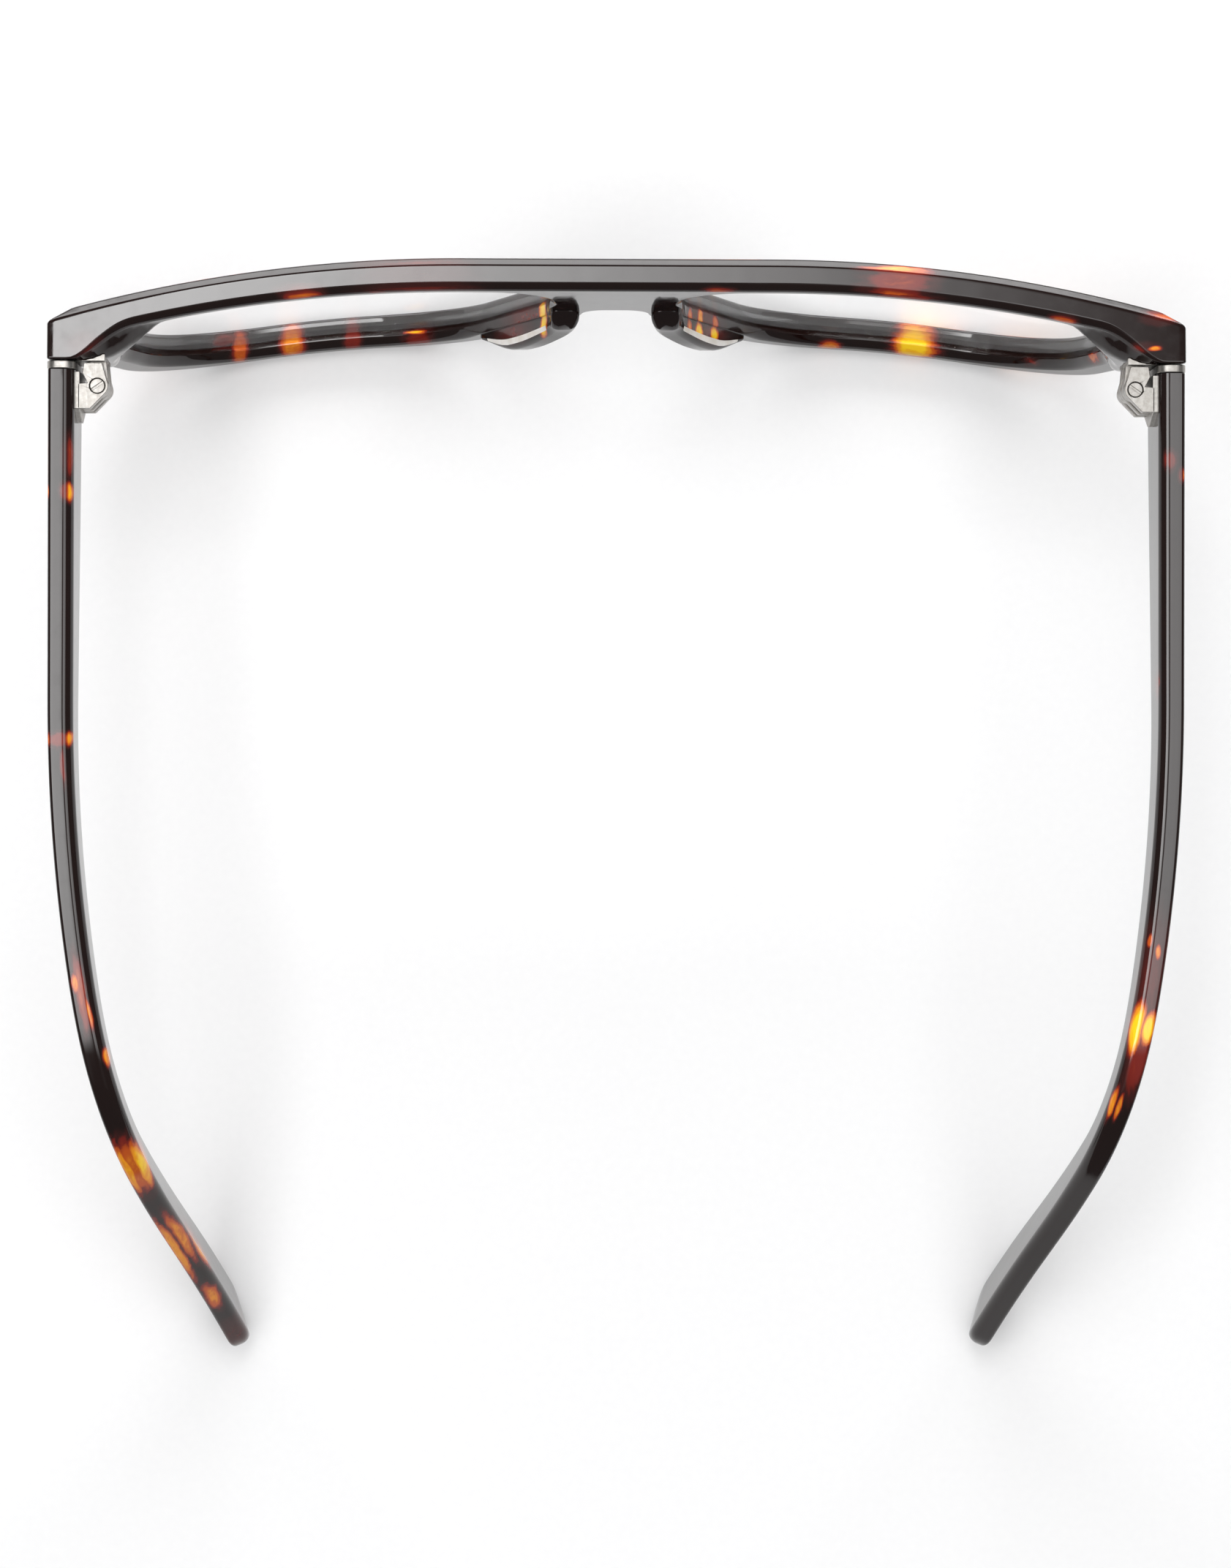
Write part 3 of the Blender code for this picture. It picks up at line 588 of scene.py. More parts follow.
def nickel(name, brushed):
    """Polished nickel silver: a warm white metal with fine wear that runs one way."""
    material, tree, shader = blank(name)
    place = node(tree, "ShaderNodeTexCoord").outputs["Object"]
    at = vectors(tree, "MULTIPLY", place, (1 / MM,) * 3)
    lines = noise(tree, vectors(tree, "MULTIPLY", at, brushed), 1.0, 3.0, 0.6)["Fac"]
    spots = noise(tree, at, 1.6, 3.0, 0.6)["Fac"]
    tint = node(tree, "ShaderNodeMix", data_type="RGBA")
    tint.inputs["A"].default_value = (0.33, 0.312, 0.288, 1)
    tint.inputs["B"].default_value = (0.42, 0.405, 0.383, 1)
    tree.links.new(fade(tree, spots, 0.3, 0.7), tint.inputs["Factor"])
    tree.links.new(tint.outputs["Result"], shader.inputs["Base Color"])
    tree.links.new(fade(tree, lines, 0.3, 0.75, 0.3, 0.46), shader.inputs["Roughness"])
    shader.inputs["Metallic"].default_value = 1.0
    wear = node(tree, "ShaderNodeBump")
    wear.inputs["Strength"].default_value = 0.12
    wear.inputs["Distance"].default_value = 0.00005
    tree.links.new(lines, wear.inputs["Height"])
    tree.links.new(wear.outputs["Normal"], shader.inputs["Normal"])
    return material


def clear_lens(name):
    """Thin clear plastic with a trace of haze."""
    material, tree, shader = blank(name)
    place = node(tree, "ShaderNodeTexCoord").outputs["Object"]
    at = vectors(tree, "MULTIPLY", place, (1 / MM,) * 3)
    haze = noise(tree, at, 0.4, 3.0)["Fac"]
    tree.links.new(fade(tree, haze, 0.4, 0.75, 0.008, 0.03), shader.inputs["Roughness"])
    shader.inputs["Base Color"].default_value = (0.97, 0.985, 0.98, 1)
    shader.inputs["IOR"].default_value = 1.49
    shader.inputs["Transmission Weight"].default_value = 1.0
    shader.inputs["Alpha"].default_value = 0.09
    return material


def paper(name):
    """Matt white sweep."""
    material, tree, shader = blank(name)
    place = node(tree, "ShaderNodeTexCoord").outputs["Object"]
    tone = node(tree, "ShaderNodeMix", data_type="RGBA")
    tone.inputs["A"].default_value = (0.88, 0.88, 0.885, 1)
    tone.inputs["B"].default_value = (0.91, 0.91, 0.912, 1)
    tree.links.new(noise(tree, place, 900.0, 2.0)["Fac"], tone.inputs["Factor"])
    tree.links.new(tone.outputs["Result"], shader.inputs["Base Color"])
    shader.inputs["Roughness"].default_value = 0.9
    shader.inputs["Specular IOR Level"].default_value = 0.1
    return material


# Front


def face_sag(u):
    """How far the face has curved back at u."""
    beyond = max(abs(u) - FLAT_HALF_WIDTH, 0.0)
    return WRAP_RADIUS - sqrt(WRAP_RADIUS**2 - beyond**2)


def front_point(u, v, w):
    y = FRONT_Y + face_sag(u) + (FRONT_HEIGHT - v) * sin(FRONT_TILT) + w * cos(FRONT_TILT)
    return Vector((u, y, max(v * cos(FRONT_TILT) + w * sin(FRONT_TILT) - REST_CUT, 0.0)))


def front_depth(u, v):
    """Thickness: even over the rims, then an S back to the upright flat that carries the hinge."""
    flat = HINGE_FLAT_Y - FRONT_Y - face_sag(u) - (FRONT_HEIGHT - v) * sin(FRONT_TILT)
    lower = smooth(FRONT_HEIGHT - v, S_LOWER_FROM, S_LOWER_BY)
    start = S_START + (S_START_BELOW - S_START) * lower
    end = S_END + (S_END_BELOW - S_END) * lower
    power = S_POWER_TOP + (S_POWER_BELOW - S_POWER_TOP) * lower
    share = smooth(abs(u), start, end) ** power * smooth(v, S_FOOT, S_SHOULDER)
    return FRONT_DEPTH + (flat / cos(FRONT_TILT) - FRONT_DEPTH) * share


def at_pad(u, v):
    """1 where a nose pad stands on the rim, falling to 0 around it."""
    upwards = smooth(v, *PAD_EASE_V) * (1 - smooth(v, *PAD_EASE_TOP))
    return upwards * (1 - smooth(abs(u), *PAD_EASE_U))


def rear_round(u, v, radius=REAR_ROUND):
    """The rear edge's radius: less at the end-piece, which meets the temple, and under the nose pad."""
    at_end = smooth(abs(u), *REAR_EASE_U) * smooth(v, *REAR_EASE_V)
    radius += (REAR_ROUND_LEAST - radius) * at_end
    return radius + (UNDER_PAD_ROUND - radius) * at_pad(u, v)


def rounded(edge, lowered, width, radius, turn):
    """A point round a rear edge and how far it is short of the back; beyond 0 and 90 it holds the flats."""
    start = radians(CRISP)
    angle = start + (pi / 2 - start) * min(max(turn, 0), 90) / 90
    inwards = radius * (1 - cos(angle) / cos(start))
    short = radius * (1 - sin(angle)) / (1 - sin(start))
    if turn < 0:
        short += SUPPORT
    if turn > 90:
        inwards += SUPPORT
    return edge.lerp(lowered, inwards / width), short


def outer_rings():
    """The front's outer skin from its face to its back, as flat rings with their depths."""
    corners = both_sides(FRONT_CORNERS)
    sides = (0, len(corners) - 2)
    bevel = [BEVEL_SIDE if i in sides else BEVEL_HEIGHT for i in range(len(corners))]
    shape = [(1.35, 0.0), (1.18, 0.0), (1.05, 0.02), (0.92, 0.08), (0.8, 0.2), (0.34, 0.66)]
    shape += [(0.21, 0.79), (0.12, 0.9), (0.06, 1.01), (0.02, 1.14), (0.0, 1.27), (0.0, 1.4)]
    rings = []
    for inwards, depth in shape:
        inset = [inwards * width for width in bevel]
        rings.append([(p, depth * BEVEL_DEPTH) for p in loop(corners, inset)])
    edge = loop(corners)
    lowered = loop(corners, REAR_ROUND)
    for turn in REAR_TURNS:
        ring = []
        for a, b in zip(edge, lowered):
            radius = rear_round(*a)
            p, short = rounded(a, b, REAR_ROUND, radius, turn)
            ring.append((p, front_depth(*p) - short))
        rings.append(ring)
    return rings


def aperture_rings(side):
    """The wall of one lens opening with its V groove, from the face to the back."""
    steps = (
        (0.65, 0.0),
        (0.50, 0.0),
        (0.30, 0.05),
        (0.14, 0.16),
        (0.04, 0.32),
        (0.0, 0.52),
        (0.0, GROOVE_W - GROOVE_HALF_WIDTH),
        (GROOVE_DEPTH, GROOVE_W),
        (0.0, GROOVE_W + GROOVE_HALF_WIDTH),
    )
    rings = [[(p, w) for p in loop(APERTURE_CORNERS, -out)] for out, w in steps]
    edge = loop(APERTURE_CORNERS)
    lowered = loop(APERTURE_CORNERS, -APERTURE_REAR_ROUND)
    for turn in APERTURE_TURNS:
        ring = []
        for a, b in zip(edge, lowered):
            radius = rear_round(*a, APERTURE_REAR_ROUND)
            p, short = rounded(a, b, APERTURE_REAR_ROUND, radius, turn)
            ring.append((p, front_depth(*p) - short))
        rings.append(ring)
    return [[(Vector((side * p.x, p.y)), w) for p, w in ring] for ring in rings]


def field(flats, spacing):
    """Evenly spread points between an outer loop and the loops of its holes."""
    clear = 0.75 * spacing
    cells = {}
    for ring in flats:
        for i, a in enumerate(ring):
            for share in (0.0, 0.5):
                p = a.lerp(ring[i - 1], share)
                cells.setdefault((int(p.x // clear), int(p.y // clear)), []).append(p)
    points = []
    rows = int(FRONT_HEIGHT / spacing)
    columns = int(FRONT_HALF_WIDTH / spacing)
    for row in range(rows + 1):
        for column in range(-columns, columns + 1):
            p = Vector(((column + 0.5 * (row % 2)) * spacing, row * spacing))
            cell = (int(p.x // clear), int(p.y // clear))
            around = [(cell[0] + i, cell[1] + j) for i in (-1, 0, 1) for j in (-1, 0, 1)]
            near = [q for place in around for q in cells.get(place, ())]
            if any((p - q).length < clear for q in near):
                continue
            if inside(p, flats[0]) and not any(inside(p, ring) for ring in flats[1:]):
                points.append(p)
    return points


def front_skin():
    skin = Skin()
    walls = [outer_rings(), aperture_rings(1), aperture_rings(-1)]
    ends = [skin.sweep([[front_point(*p, w) for p, w in ring] for ring in wall]) for wall in walls]
    face = [[p for p, _ in wall[0]] for wall in walls]
    back = [[p for p, _ in wall[-1]] for wall in walls]
    skin.fill([first for first, _ in ends], face, field(face, FACE_SPACING),
              lambda p: front_point(p.x, p.y, 0.0))
    skin.fill([last for _, last in ends], back, field(back, BACK_SPACING),
              lambda p: front_point(p.x, p.y, front_depth(*p)))
    return skin


def lens_skin():
    """A thin curved lens with a V edge."""
    centre = Vector(LENS_CENTRE)
    edge = loop(APERTURE_CORNERS, LENS_LAND)
    half = LENS_THICKNESS / 2

    def ring(share, sign):
        rise = LENS_RISE * (1 - share**2)
        points = [centre.lerp(p, share) for p in edge]
        return [front_point(*p, GROOVE_W + sign * half - rise) for p in points]

    tip = [front_point(*p, GROOVE_W) for p in loop(APERTURE_CORNERS, -LENS_TIP)]
    shares = [k / LENS_RINGS for k in range(1, LENS_RINGS + 1)]
    skin = Skin()
    face = [ring(share, -1) for share in shares]
    back = [ring(share, 1) for share in reversed(shares)]
    first, last = skin.sweep(face + [tip] + back)
    skin.fan(first, front_point(*centre, GROOVE_W - half - LENS_RISE))
    skin.fan(last, front_point(*centre, GROOVE_W + half - LENS_RISE))
    return skin


def pad_height(v):
    """How far the pad stands off the rim: blunt at its upper end, and long and low at the other."""
    upper = PAD_EDGE_SHARE
    for ease, share, start, end in PAD_RISES:
        upper += share * ease(PAD_TOP - v, start, end)
    return PAD_HEIGHT * upper * (PAD_TAIL_SHARE + (1 - PAD_TAIL_SHARE) * smooth(v, *PAD_TAIL_V))


# How far in from the pad's edge on the lens side, and on the others, at each share of its height
PAD_PROFILE = (
    (0.0, 0.0, -0.1),
    (0.0, 0.0, 0.1),
    (0.0, 0.02, 0.3),
    (0.0, 0.10, 0.50),
    (0.0, 0.13, 0.53),
    (0.05, 0.28, 0.68),
    (0.10, 0.42, 0.79),
    (0.14, 0.47, 0.82),
    (0.22, 0.56, 0.87),
    (0.36, 0.70, 0.92),
    (0.58, 0.88, 0.965),
    (0.80, 1.02, 0.99),
    (1.0, 1.16, 1.0),
)
# The pale facet, a painted reflection on the pad's steep wall by the lens: its rings of the profile, and
# where it runs on the pad's outline
PALE_RINGS = (4, 5)
PALE_U = 8.8
PALE_V = (12.0, 26.5)


def pad_skin():
    """A long drop on the back of the nasal rim, with a pale facet of painted reflection below the ridge on
    the lens side.
    """
    skin = Skin()
    rings = []
    for lens_side, nose_side, share in PAD_PROFILE:
        ring = []
        for p in loop(PAD_CORNERS, [lens_side, lens_side] + [nose_side] * 4):
            ring.append(front_point(*p, front_depth(*p) + pad_height(p.y) * share))
        rings.append(ring)
    flat = loop(PAD_CORNERS, [PAD_PROFILE[-1][0]] * 2 + [PAD_PROFILE[-1][1]] * 4)
    first, last = skin.sweep(rings)
    count = len(flat)
    # The faces beside the pale facet take the second colour, a painted reflection
    pale = [i for i, p in enumerate(loop(PAD_CORNERS)) if on_pale_facet(p)]
    for level in PALE_RINGS:
        skin.second |= {level * count + i for i in pale}
    skin.faces.append(tuple(first))
    skin.fill([last], [flat])
    return skin


def on_pale_facet(point):
    """Whether a point of the pad's outline is beside the pale facet, on its sloping edge by the lens."""
    start = Vector(PAD_CORNERS[1][:2])
    way = Vector(PAD_CORNERS[2][:2]) - start
    off = abs((point - start).cross(way.normalized()))
    return off < 0.6 and point.x > PALE_U and PALE_V[0] < point.y < PALE_V[1]


# Hinge, built about its own axis: x outwards and y back from the pivot, z as in the whole


def hinge_shift(skin):
    skin.points = [point + Vector((PIVOT_X, PIVOT_Y, 0)) for point in skin.points]
    return skin


def knuckle_levels(first):
    """The (low, high) of every second knuckle, counted from the lowest."""
    pitch = KNUCKLE_HEIGHT + KNUCKLE_GAP
    lows = [HINGE_FOOT + pitch * k for k in range(first, KNUCKLES, 2)]
    return [(low, low + KNUCKLE_HEIGHT) for low in lows]


def round_end(start, end, steps):
    """The arc of the knuckle's round end between its tangents from two points."""
    angles = []
    for point, way in ((start, 1), (end, -1)):
        spread = acos(KNUCKLE_RADIUS / hypot(*point))
        angles.append(atan2(point[1], point[0]) % (2 * pi) + way * spread)
    turns = [angles[0] + (angles[1] - angles[0]) * k / steps for k in range(steps + 1)]
    return [(KNUCKLE_RADIUS * cos(a), KNUCKLE_RADIUS * sin(a)) for a in turns]


def front_leaf_skin():
    rear = HINGE_FLAT_Y + LEAF_PROUD
    low = (PIVOT_X + FRONT_LEAF_INNER, rear - LEAF_THICKNESS, HINGE_FOOT)
    skin = box(low, (PIVOT_X + FRONT_LEAF_OUTER, rear, HINGE_TOP))
    root = low[1] + LEAF_THICKNESS / 2 - PIVOT_Y
    outline = [(FRONT_NECK, root)]
    half_turn = [pi * k / 24 for k in range(25)]
    outline += [(KNUCKLE_RADIUS * cos(a), KNUCKLE_RADIUS * sin(a)) for a in half_turn]
    outline.append((-FRONT_NECK, root))
    for level in knuckle_levels(1):
        skin.add(hinge_shift(prism(outline, *level)))
    return skin


def strip_outline():
    """Side view of the temple leaf's strip, y back from the pivot and z: square in front, tapered behind."""
    start = TEMPLE_START - PIVOT_Y + 0.1
    knee = STRIP_TAIL - 1.5
    middle = (HINGE_FOOT + HINGE_TOP) / 2
    return [
        (start, HINGE_FOOT),
        (knee, HINGE_FOOT),
        (STRIP_TAIL, middle - 1),
        (STRIP_TAIL, middle + 1),
        (knee, HINGE_TOP),
        (start, HINGE_TOP),
    ]


def knuckle_outline():
    """Plan of a temple knuckle: a stop face in front, a strip's root outside, and a round end inside."""
    stop = HINGE_FLAT_Y + LEAF_PROUD + STOP_GAP - PIVOT_Y
    root = STRIP_INNER + 0.3
    nose = (-0.6, stop)
    heel = (0.9, KNUCKLE_REAR)
    outline = [nose, (1.7, stop), (1.9, -1.6), (1.3, -0.4), (root, -0.3), (root, KNUCKLE_REAR), heel]
    return outline + round_end(heel, nose, 18)


def temple_leaf_skin():
    """The strip, the lower knuckles, and a top one with the screw's seat sunk in it."""
    skin = hinge_shift(prism(strip_outline(), STRIP_INNER, STRIP_OUTER, "X"))
    outline = [Vector(p) for p in knuckle_outline()]
    for low, high in knuckle_levels(0)[:-1]:
        skin.add(hinge_shift(prism(outline, low, high)))
    low, high = knuckle_levels(0)[-1]
    seat = circle(HEAD_BORE_RADIUS, 40)
    top = Skin()
    outside = top.sweep([[(*p, level) for p in outline] for level in (low, high)])
    well = top.sweep([[(*p, level) for p in seat] for level in (high, high - SCREW_HEAD_DEPTH)])
    top.faces.append(tuple(outside[0]))
    top.fill([outside[1], well[0]], [outline, seat])
    top.faces.append(tuple(well[1]))
    return skin.add(hinge_shift(top))


def screw_skin():
    """A slotted head with a softened edge: two half-discs that stand on the slot's floor."""
    skin = Skin()
    top = HINGE_TOP - SCREW_SUNK
    floor = top - SLOT_DEPTH
    skin.add(prism(circle(SCREW_HEAD_RADIUS, 40), HINGE_TOP - SCREW_HEAD_DEPTH - 0.1, floor))
    start = acos(SLOT_WIDTH / 2 / SCREW_HEAD_RADIUS)
    for way in (1, -1):
        arc = [way * (start * (1 - 2 * k / 20)) for k in range(21)]
        outline = [Vector((way * SCREW_HEAD_RADIUS * cos(a), SCREW_HEAD_RADIUS * sin(a))) for a in arc]
        turned = [Matrix.Rotation(SLOT_TURN, 2) @ p for p in outline]
        skin.add(prism(turned, floor, top))
    skin.add(prism(circle(SHANK_RADIUS, 24), HINGE_FOOT + 0.05, HINGE_TOP - SCREW_HEAD_DEPTH))
    return hinge_shift(skin)


# Temple


def temple_heading(t):
    """How far the temple has turned inwards at t along its plan."""
    turned = HEADING_MIDDLE * ramp(t, *FIRST_BEND)
    turned += (HEADING_END - HEADING_MIDDLE) * ramp(t, *SECOND_BEND)
    return turned - HEADING_EASE * ramp(t, *LAST_BEND)


def temple_height(s):
    """From the upper edge to the lower: it tapers to the bend, and widens again to the tip."""
    taper = TAPER_SHARE * smooth(s, *TAPER) + (1 - TAPER_SHARE) * smooth(s, *LATER_TAPER)
    height = ROOT_HEIGHT + (SHAFT_HEIGHT - ROOT_HEIGHT) * taper
    return height + (TIP_HEIGHT - SHAFT_HEIGHT) * smooth(s, *WIDENING)


def temple_plan():
    """The plan of the temple's outer face, a point every PLAN_STEP."""
    points = [Vector((TEMPLE_X, TEMPLE_START))]
    for k in range(ceil(TEMPLE_LENGTH / PLAN_STEP)):
        heading = temple_heading((k + 0.5) * PLAN_STEP)
        points.append(points[-1] + PLAN_STEP * Vector((-sin(heading), cos(heading))))
    return points


TEMPLE_PLAN = temple_plan()


def temple_point(t, z, inwards):
    """The point t along the plan and z up, that far in from the outer face."""
    k = min(max(int(t // PLAN_STEP), 0), len(TEMPLE_PLAN) - 2)
    at = TEMPLE_PLAN[k] + (TEMPLE_PLAN[k + 1] - TEMPLE_PLAN[k]) * (t / PLAN_STEP - k)
    heading = temple_heading(t)
    return Vector((at.x - inwards * cos(heading), at.y - inwards * sin(heading), z))


def temple_profile(stations):
    """For each s: t and z of the temple's upper edge, and how steeply it falls."""
    found = []
    t = 0.0
    z = TEMPLE_TOP
    s = 0.0
    for target in stations:
        steps = ceil(abs(target - s) / PLAN_STEP)
        for k in range(steps):
            step = (target - s) / steps
            pitch = PITCH_END * ramp(s + (k + 0.5) * step, PITCH_START, PITCH_FULL)
            t += step * cos(pitch)
            z -= step * sin(pitch)
        s = target
        found.append((t, z, PITCH_END * ramp(s, PITCH_START, PITCH_FULL)))
    return found


def temple_section(height, thickness):
    """Corner-rounded cross-section as (down, inwards) from the upper outer corner."""
    corners = (
        (0.0, 0.0, OUTER_RADIUS, 6, 3),
        (0.0, thickness, INNER_RADIUS, 12, 3),
        (height, thickness, INNER_RADIUS, 12, 3),
        (height, 0.0, OUTER_RADIUS, 6, 3),
    )
    return loop(corners)


def temple_skin():
    straight = [0.0, 0.4] + [1.5 * k for k in range(1, 98)]
    round_tip = [TEMPLE_LENGTH - TIP_RADIUS * (1 - sin(radians(a))) for a in range(0, 85, 7)]
    stations = [s for s in straight if s < round_tip[0] - 0.5] + round_tip
    skin = Skin()
    rings = []
    for s, (t, z, pitch) in zip(stations, temple_profile(stations)):
        beyond = max(s - (TEMPLE_LENGTH - TIP_RADIUS), 0.0)
        pull = TIP_RADIUS - sqrt(TIP_RADIUS**2 - beyond**2)
        thin = TIP_THINNING * pull
        thickness = TEMPLE_THICKNESS + (TIP_THICKNESS - TEMPLE_THICKNESS) * s / TEMPLE_LENGTH
        ring = []
        for down, inwards in temple_section(temple_height(s) - 2 * pull, thickness - 2 * thin):
            down += pull
            ring.append(temple_point(t - down * sin(pitch), z - down * cos(pitch), inwards + thin))
        rings.append(ring)
    skin.close(*skin.sweep(rings))
    return skin


def end_plate_skin():
    """A metal plate with rounded corners over the temple's front end."""
    proud = END_PLATE_PROUD
    outer = TEMPLE_X + proud
    inner = TEMPLE_X - TEMPLE_THICKNESS - proud
    top = TEMPLE_TOP + proud
    foot = TEMPLE_TOP - temple_height(0) - proud
    places = ((outer, top), (outer, foot), (inner, foot), (inner, top))
    corners = [(*place, END_PLATE_ROUND, 8, 1) for place in places]
    front = HINGE_FLAT_Y + END_PLATE_GAP
    return prism(loop(corners), front, front + END_PLATE_THICKNESS, "Y")


# Assembly

# Flecks of colour: a middle and half-widths in millimetres, and a strength
FRONT_PATCHES = (
    ((68.0, -60.6, 45.9), (2.6, 2.0, 1.6), 0.34),
    ((40.4, -67.2, 45.6), (3.4, 1.3, 1.4), 0.72),
    ((25.5, -69.2, 45.9), (9.0, 3.6, 2.2), 0.36),
    ((30.0, -66.6, 45.6), (4.0, 0.8, 2.0), 0.5),
    ((-35.7, -70.5, 45.5), (5.6, 0.8, 0.9), 0.88),
    ((-35.7, -68.8, 46.0), (5.2, 2.4, 1.2), 1.1),
    ((-35.9, -66.8, 45.2), (5.8, 0.7, 1.4), 0.44),
    ((-68.4, -60.4, 45.9), (1.0, 0.45, 1.2), 1.8),
    ((-67.4, -60.6, 45.6), (2.2, 0.8, 1.2), 0.44),
    ((-56.8, -63.9, 45.2), (2.0, 1.2, 1.0), 0.62),
    ((-12.9, -67.5, 45.2), (2.2, 0.9, 1.2), 0.5),
    ((-69.0, -64.2, 45.0), (3.0, 1.2, 1.6), 0.66),
    ((50.6, -63.8, 3.0), (1.4, 3.4, 3.4), 0.66),
    ((43.4, -64.9, 3.0), (2.0, 3.4, 3.4), 0.74),
    ((53.0, -65.0, 4.0), (2.6, 1.2, 1.6), 0.42),
    ((35.3, -65.4, 3.2), (1.5, 3.6, 3.4), 0.42),
    ((26.0, -65.2, 3.0), (2.6, 2.6, 3.0), 0.4),
    ((25.6, -66.2, 3.6), (2.8, 0.4, 1.0), 1.1),
    ((-29.8, -64.6, 2.4), (1.9, 1.2, 2.0), 0.74),
    ((64.3, -62.6, 8.5), (1.8, 2.4, 3.0), 0.46),
    ((-41.5, -65.0, 3.2), (3.6, 3.6, 4.0), 1.0),
    ((-56.2, -61.8, 9.7), (2.0, 1.6, 3.0), 0.95),
    ((-62.9, -61.1, 21.5), (1.8, 1.8, 3.0), 0.95),
    ((9.6, -66.5, 25.9), (0.65, 3.4, 2.6), 1.0),
    ((12.5, -66.5, 22.0), (4.5, 2.6, 7.0), 0.3),
    ((-12.5, -66.5, 22.0), (4.5, 2.6, 7.0), 0.3),
    ((11.4, -66.8, 25.0), (1.6, 1.6, 2.6), 0.42),
    ((-9.9, -66.4, 25.0), (0.5, 1.5, 1.6), 0.66),
    ((-11.5, -66.4, 22.3), (0.6, 1.8, 1.8), 0.8),
    ((-13.6, -66.2, 18.6), (0.7, 1.4, 1.6), 0.66),
)
PAD_PATCHES_LEFT = (((9.4, -65.3, 25.4), (0.65, 2.8, 2.4), 1.0), ((13.0, -65.0, 18.0), (4.0, 2.0, 6.0), 0.3))
PAD_PATCHES_RIGHT = (
    ((-9.8, -65.1, 24.8), (0.5, 1.2, 1.5), 0.72),
    ((-11.3, -64.9, 22.1), (0.75, 1.3, 1.8), 1.0),
    ((-13.5, -64.8, 18.3), (0.9, 1.2, 1.8), 1.0),
    ((-13.0, -65.0, 18.0), (4.0, 2.0, 6.0), 0.3),
)
# On a temple: how far along and in from its outer face, half-length, half-width and strength
TEMPLE_PATCHES_LEFT = (
    (11.0, 2.5, 3.2, 0.9, 0.5),
    (15.6, 2.4, 1.5, 1.1, 0.95),
    (15.6, -0.1, 1.5, 0.35, 0.9),
    (47.0, 1.5, 1.3, 2.0, 1.0),
    (50.5, 1.9, 3.0, 0.4, 0.9),
    (79.5, 1.4, 6.0, 0.9, 0.5),
    (78.3, 0.8, 1.6, 0.6, 0.74),
    (82.5, 2.0, 2.6, 0.35, 0.7),
    (88.5, 2.9, 1.4, 0.5, 0.8),
    (105.5, 0.5, 6.2, 0.8, 0.86),
    (105.5, 2.5, 5.6, 1.0, 0.93),
    (105.5, 1.5, 6.4, 1.8, 0.66),
    (124.0, 0.5, 9.0, 0.8, 0.8),
    (122.0, 2.0, 7.0, 0.9, 0.74),
    (127.0, 3.4, 7.0, 0.8, 0.86),
    (136.0, 1.3, 3.4, 1.3, 0.72),
    (146.0, 1.5, 5.0, 3.0, 0.26),
)
TEMPLE_PATCHES_RIGHT = (
    (11.2, 1.9, 1.6, 1.0, 0.85),
    (13.2, 0.5, 1.2, 0.5, 0.8),
    (40.0, 3.4, 2.4, 0.4, 0.6),
    (72.8, 2.3, 1.1, 0.4, 0.66),
    (74.2, 1.1, 1.2, 0.45, 0.74),
    (84.3, 2.3, 4.2, 1.0, 1.0),
    (84.0, 0.8, 2.6, 1.0, 1.0),
    (79.0, 1.6, 12.0, 2.4, 0.28),
    (88.0, 1.2, 6.5, 1.6, 0.42),
    (95.0, 2.6, 2.8, 0.45, 0.8),
    (95.0, 1.7, 2.4, 0.4, 0.76),
)
PATCH_HALF_HEIGHT = 5.0
ALONG_FRONT = (0.35, 1.2, 1.2)
ALONG_TEMPLE = (1.3, 0.22, 0.9)


def on_temple(patches, sign):
    """Patches given along a temple, as places and turns in space."""
    placed = []
    for s, inwards, half_length, half_width, strength in patches:
        t, z, pitch = temple_profile([s])[0]
        heading = temple_heading(t)
        middle = temple_point(t, z, inwards)
        across = Vector((cos(heading), sign * sin(heading), 0))
        along = Vector((-sign * sin(heading) * cos(pitch), cos(heading) * cos(pitch), -sin(pitch)))
        turned = Matrix((across, along, across.cross(along))).transposed().to_euler()
        half = (half_width, half_length, PATCH_HALF_HEIGHT)
        placed.append(((sign * middle.x, middle.y, middle.z), half, strength, tuple(turned)))
    return placed


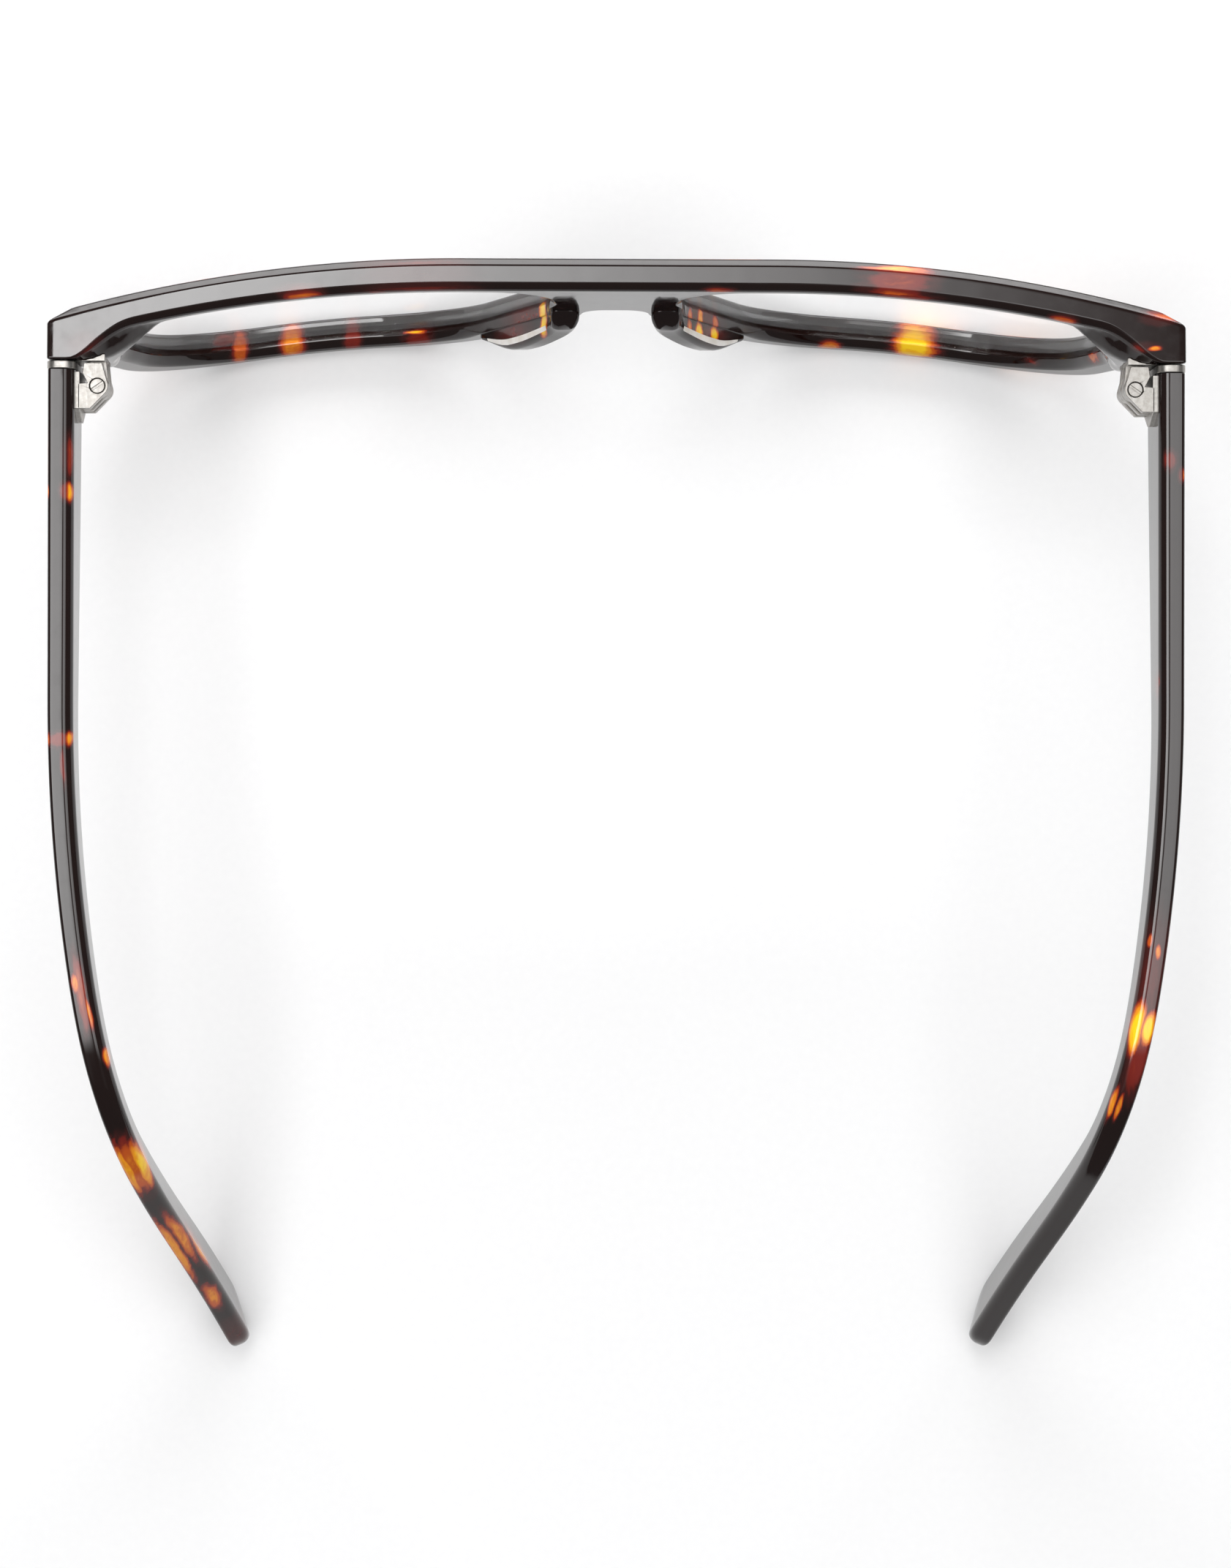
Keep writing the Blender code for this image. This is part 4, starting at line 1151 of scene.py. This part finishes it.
def make_pieces():
    """All the pieces; it gives those of acetate."""
    front = tortoiseshell("tortoiseshell_front", FRONT_PATCHES, ALONG_FRONT, (3.1, 7.4, 2.2))
    acetate = [make_piece("front_shell", front_skin(), [front], "front", "acetate", ["front_frame"])]
    lens = clear_lens("clear_lens")
    # The pad's second colour is a pale painted reflection, not an acetate of its own
    pad_reflection = pad_reflection_paint("pad_reflection_paint")
    hinge_metal = nickel("nickel_hinge", (4.0, 0.6, 4.0))
    plate_metal = nickel("nickel_plate", (0.6, 4.0, 4.0))
    sides = (
        ("left", 1, TEMPLE_PATCHES_LEFT, PAD_PATCHES_LEFT, (5.3, 2.9, 8.8)),
        ("right", -1, TEMPLE_PATCHES_RIGHT, PAD_PATCHES_RIGHT, (9.2, 4.1, 1.6)),
    )
    for side, sign, temple_patches, pad_patches, seed in sides:
        placed = on_temple(temple_patches, sign)
        arm = tortoiseshell(f"tortoiseshell_temple_{side}", placed, ALONG_TEMPLE, seed, "X", sign)
        pad = tortoiseshell(f"tortoiseshell_pad_{side}", pad_patches, ALONG_FRONT, seed)
        body = f"temple_{side}"
        plan = (
            ("lens_clear", lens_skin(), [lens], "front", "lens", "lens", 0.0),
            ("nose_pad_drop", pad_skin(), [pad, pad_reflection], "front", "acetate", "nose_pad", 0.0),
            ("front_leaf", front_leaf_skin(), [hinge_metal], "front", "nickel", "front_hinge_leaf", 0.1),
            ("temple_arm", temple_skin(), [arm], body, "acetate", "temple", 0.0),
            ("end_plate", end_plate_skin(), [plate_metal], body, "nickel", "temple_end_plate", 0.16),
            ("temple_leaf", temple_leaf_skin(), [hinge_metal], body, "nickel", "temple_hinge_leaf", 0.1),
            ("screw", screw_skin(), [hinge_metal], body, "nickel", "hinge_screw", 0.05),
        )
        for name, skin, materials, rides, slot, stands_for, bevel in plan:
            if sign < 0:
                skin.mirror()
            nodes = [f"{stands_for}_{side}"]
            piece = make_piece(f"{name}_{side}", skin, materials, rides, slot, nodes, bevel)
            if slot == "acetate":
                acetate.append(piece)
        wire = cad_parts[f"core_wire_{side}"]
        wire.data.materials.clear()
        wire.data.materials.append(plate_metal)
    return acetate


# Stage: table, lights and camera

TABLE_HALF_WIDTH = 3.0
TABLE_Z = -0.00002
WORLD_UNSEEN = 0.2
CAMERA_AT = (0.01243, -0.0047, 0.6186)
CAMERA_YAW = radians(-1.221)
CAMERA_ROLL = radians(0.108)
# Along the overhead panel's length: where it has faded out and where it is full, then those levels
REAR_FADE = (0.62, 0.30, 0.03, 1.0)


def area_light(name, at, size, strength, aim, lit=None, gap=False):
    """A soft panel with its brightness at either end, which lights only some pieces if they are given.

    With a gap it is dark over the middle of its width, and fades out towards the back.
    """
    light = bpy.data.lights.new(name, "AREA")
    light.shape = "RECTANGLE"
    light.size, light.size_y = size
    light.energy = pi * size[0] * size[1]
    made = bpy.data.objects.new(name, light)
    made.location = at
    made.rotation_euler = (Vector(aim) - Vector(at)).to_track_quat("-Z", "Y").to_euler()
    made.visible_camera = False
    bpy.context.scene.collection.objects.link(made)
    light.use_nodes = True
    tree = light.node_tree
    across = node(tree, "ShaderNodeSeparateXYZ")
    tree.links.new(node(tree, "ShaderNodeNewGeometry").outputs["Parametric"], across.inputs[0])
    level = fade(tree, across.outputs["X"], 0.0, 1.0, *strength)
    if gap:
        off_middle = maths(tree, "ABSOLUTE", maths(tree, "SUBTRACT", across.outputs["X"], 0.5))
        level = maths(tree, "MULTIPLY", level, fade(tree, off_middle, 0.05, 0.13, 0.06, 1.0))
        level = maths(tree, "MULTIPLY", level, fade(tree, across.outputs["Y"], *REAR_FADE))
    tree.links.new(level, tree.nodes["Emission"].inputs["Strength"])
    if lit is not None:
        chosen = bpy.data.collections.new(f"{name}_lit")
        for piece in lit:
            chosen.objects.link(piece)
        made.light_linking.receiver_collection = chosen
    return made


def make_stage(acetate):
    """The white table, the studio's light and the camera over the frame."""
    mesh = bpy.data.meshes.new("table")
    corners = [(-1, -1, 0), (1, -1, 0), (1, 1, 0), (-1, 1, 0)]
    mesh.from_pydata([Vector(corner) * TABLE_HALF_WIDTH for corner in corners], [], [(0, 1, 2, 3)])
    mesh.materials.append(paper("white_sweep"))
    table = bpy.data.objects.new("table", mesh)
    table.location.z = TABLE_Z
    bpy.context.scene.collection.objects.link(table)

    world = bpy.data.worlds.new("studio")
    bpy.context.scene.world = world
    world.use_nodes = True
    tree = world.node_tree
    background = tree.nodes["Background"]
    background.inputs["Color"].default_value = (1.0, 1.0, 1.0, 1)
    seen = node(tree, "ShaderNodeLightPath").outputs["Is Camera Ray"]
    tree.links.new(fade(tree, seen, 0.0, 1.0, WORLD_UNSEEN, 1.0), background.inputs["Strength"])

    others = [piece for piece in bpy.data.objects if piece.type == "MESH" and piece not in acetate]
    # The acetate's own pair of overhead panels is brighter, for its dark gloss, than the rest's
    for lit, rear, front in ((acetate, (2.6, 8.0), (0.2, 13.5)), (others, (1.3, 3.3), (0.5, 6.8))):
        area_light("overhead", (0.0, 0.2, 1.1), (1.3, 0.9), rear, (0.0, 0.2, 0.0), lit, lit is acetate)
        area_light("overhead_front", (-0.025, -0.50, 1.1), (0.55, 0.50), front, (-0.025, -0.50, 0.0), lit)
    area_light("fill", (0.0, 0.1, 1.6), (1.6, 1.6), (0.35, 0.35), (0.0, 0.1, 0.0)).visible_glossy = False
    area_light("front_panel", (0.0, -1.0, 0.30), (1.6, 0.40), (6.0, 6.0), (0.0, 0.0, 0.02))

    camera = bpy.data.cameras.new("camera")
    camera.lens = 103.4
    camera.sensor_width = 36.0
    camera.clip_start = 0.01
    seat = bpy.data.objects.new("camera", camera)
    flip = Matrix(((-1, 0, 0), (0, 1, 0), (0, 0, -1)))
    turned = Matrix.Rotation(CAMERA_ROLL, 3, "Z") @ Matrix.Rotation(CAMERA_YAW, 3, "Y") @ flip
    axes = Matrix((turned[0], -turned[1], -turned[2])).transposed()
    seat.matrix_world = Matrix.Translation(CAMERA_AT) @ axes.to_4x4()
    bpy.context.scene.collection.objects.link(seat)
    bpy.context.scene.camera = seat
    bpy.context.scene.view_settings.view_transform = "Standard"
    bpy.context.scene.view_settings.look = "None"


make_stage(make_pieces())
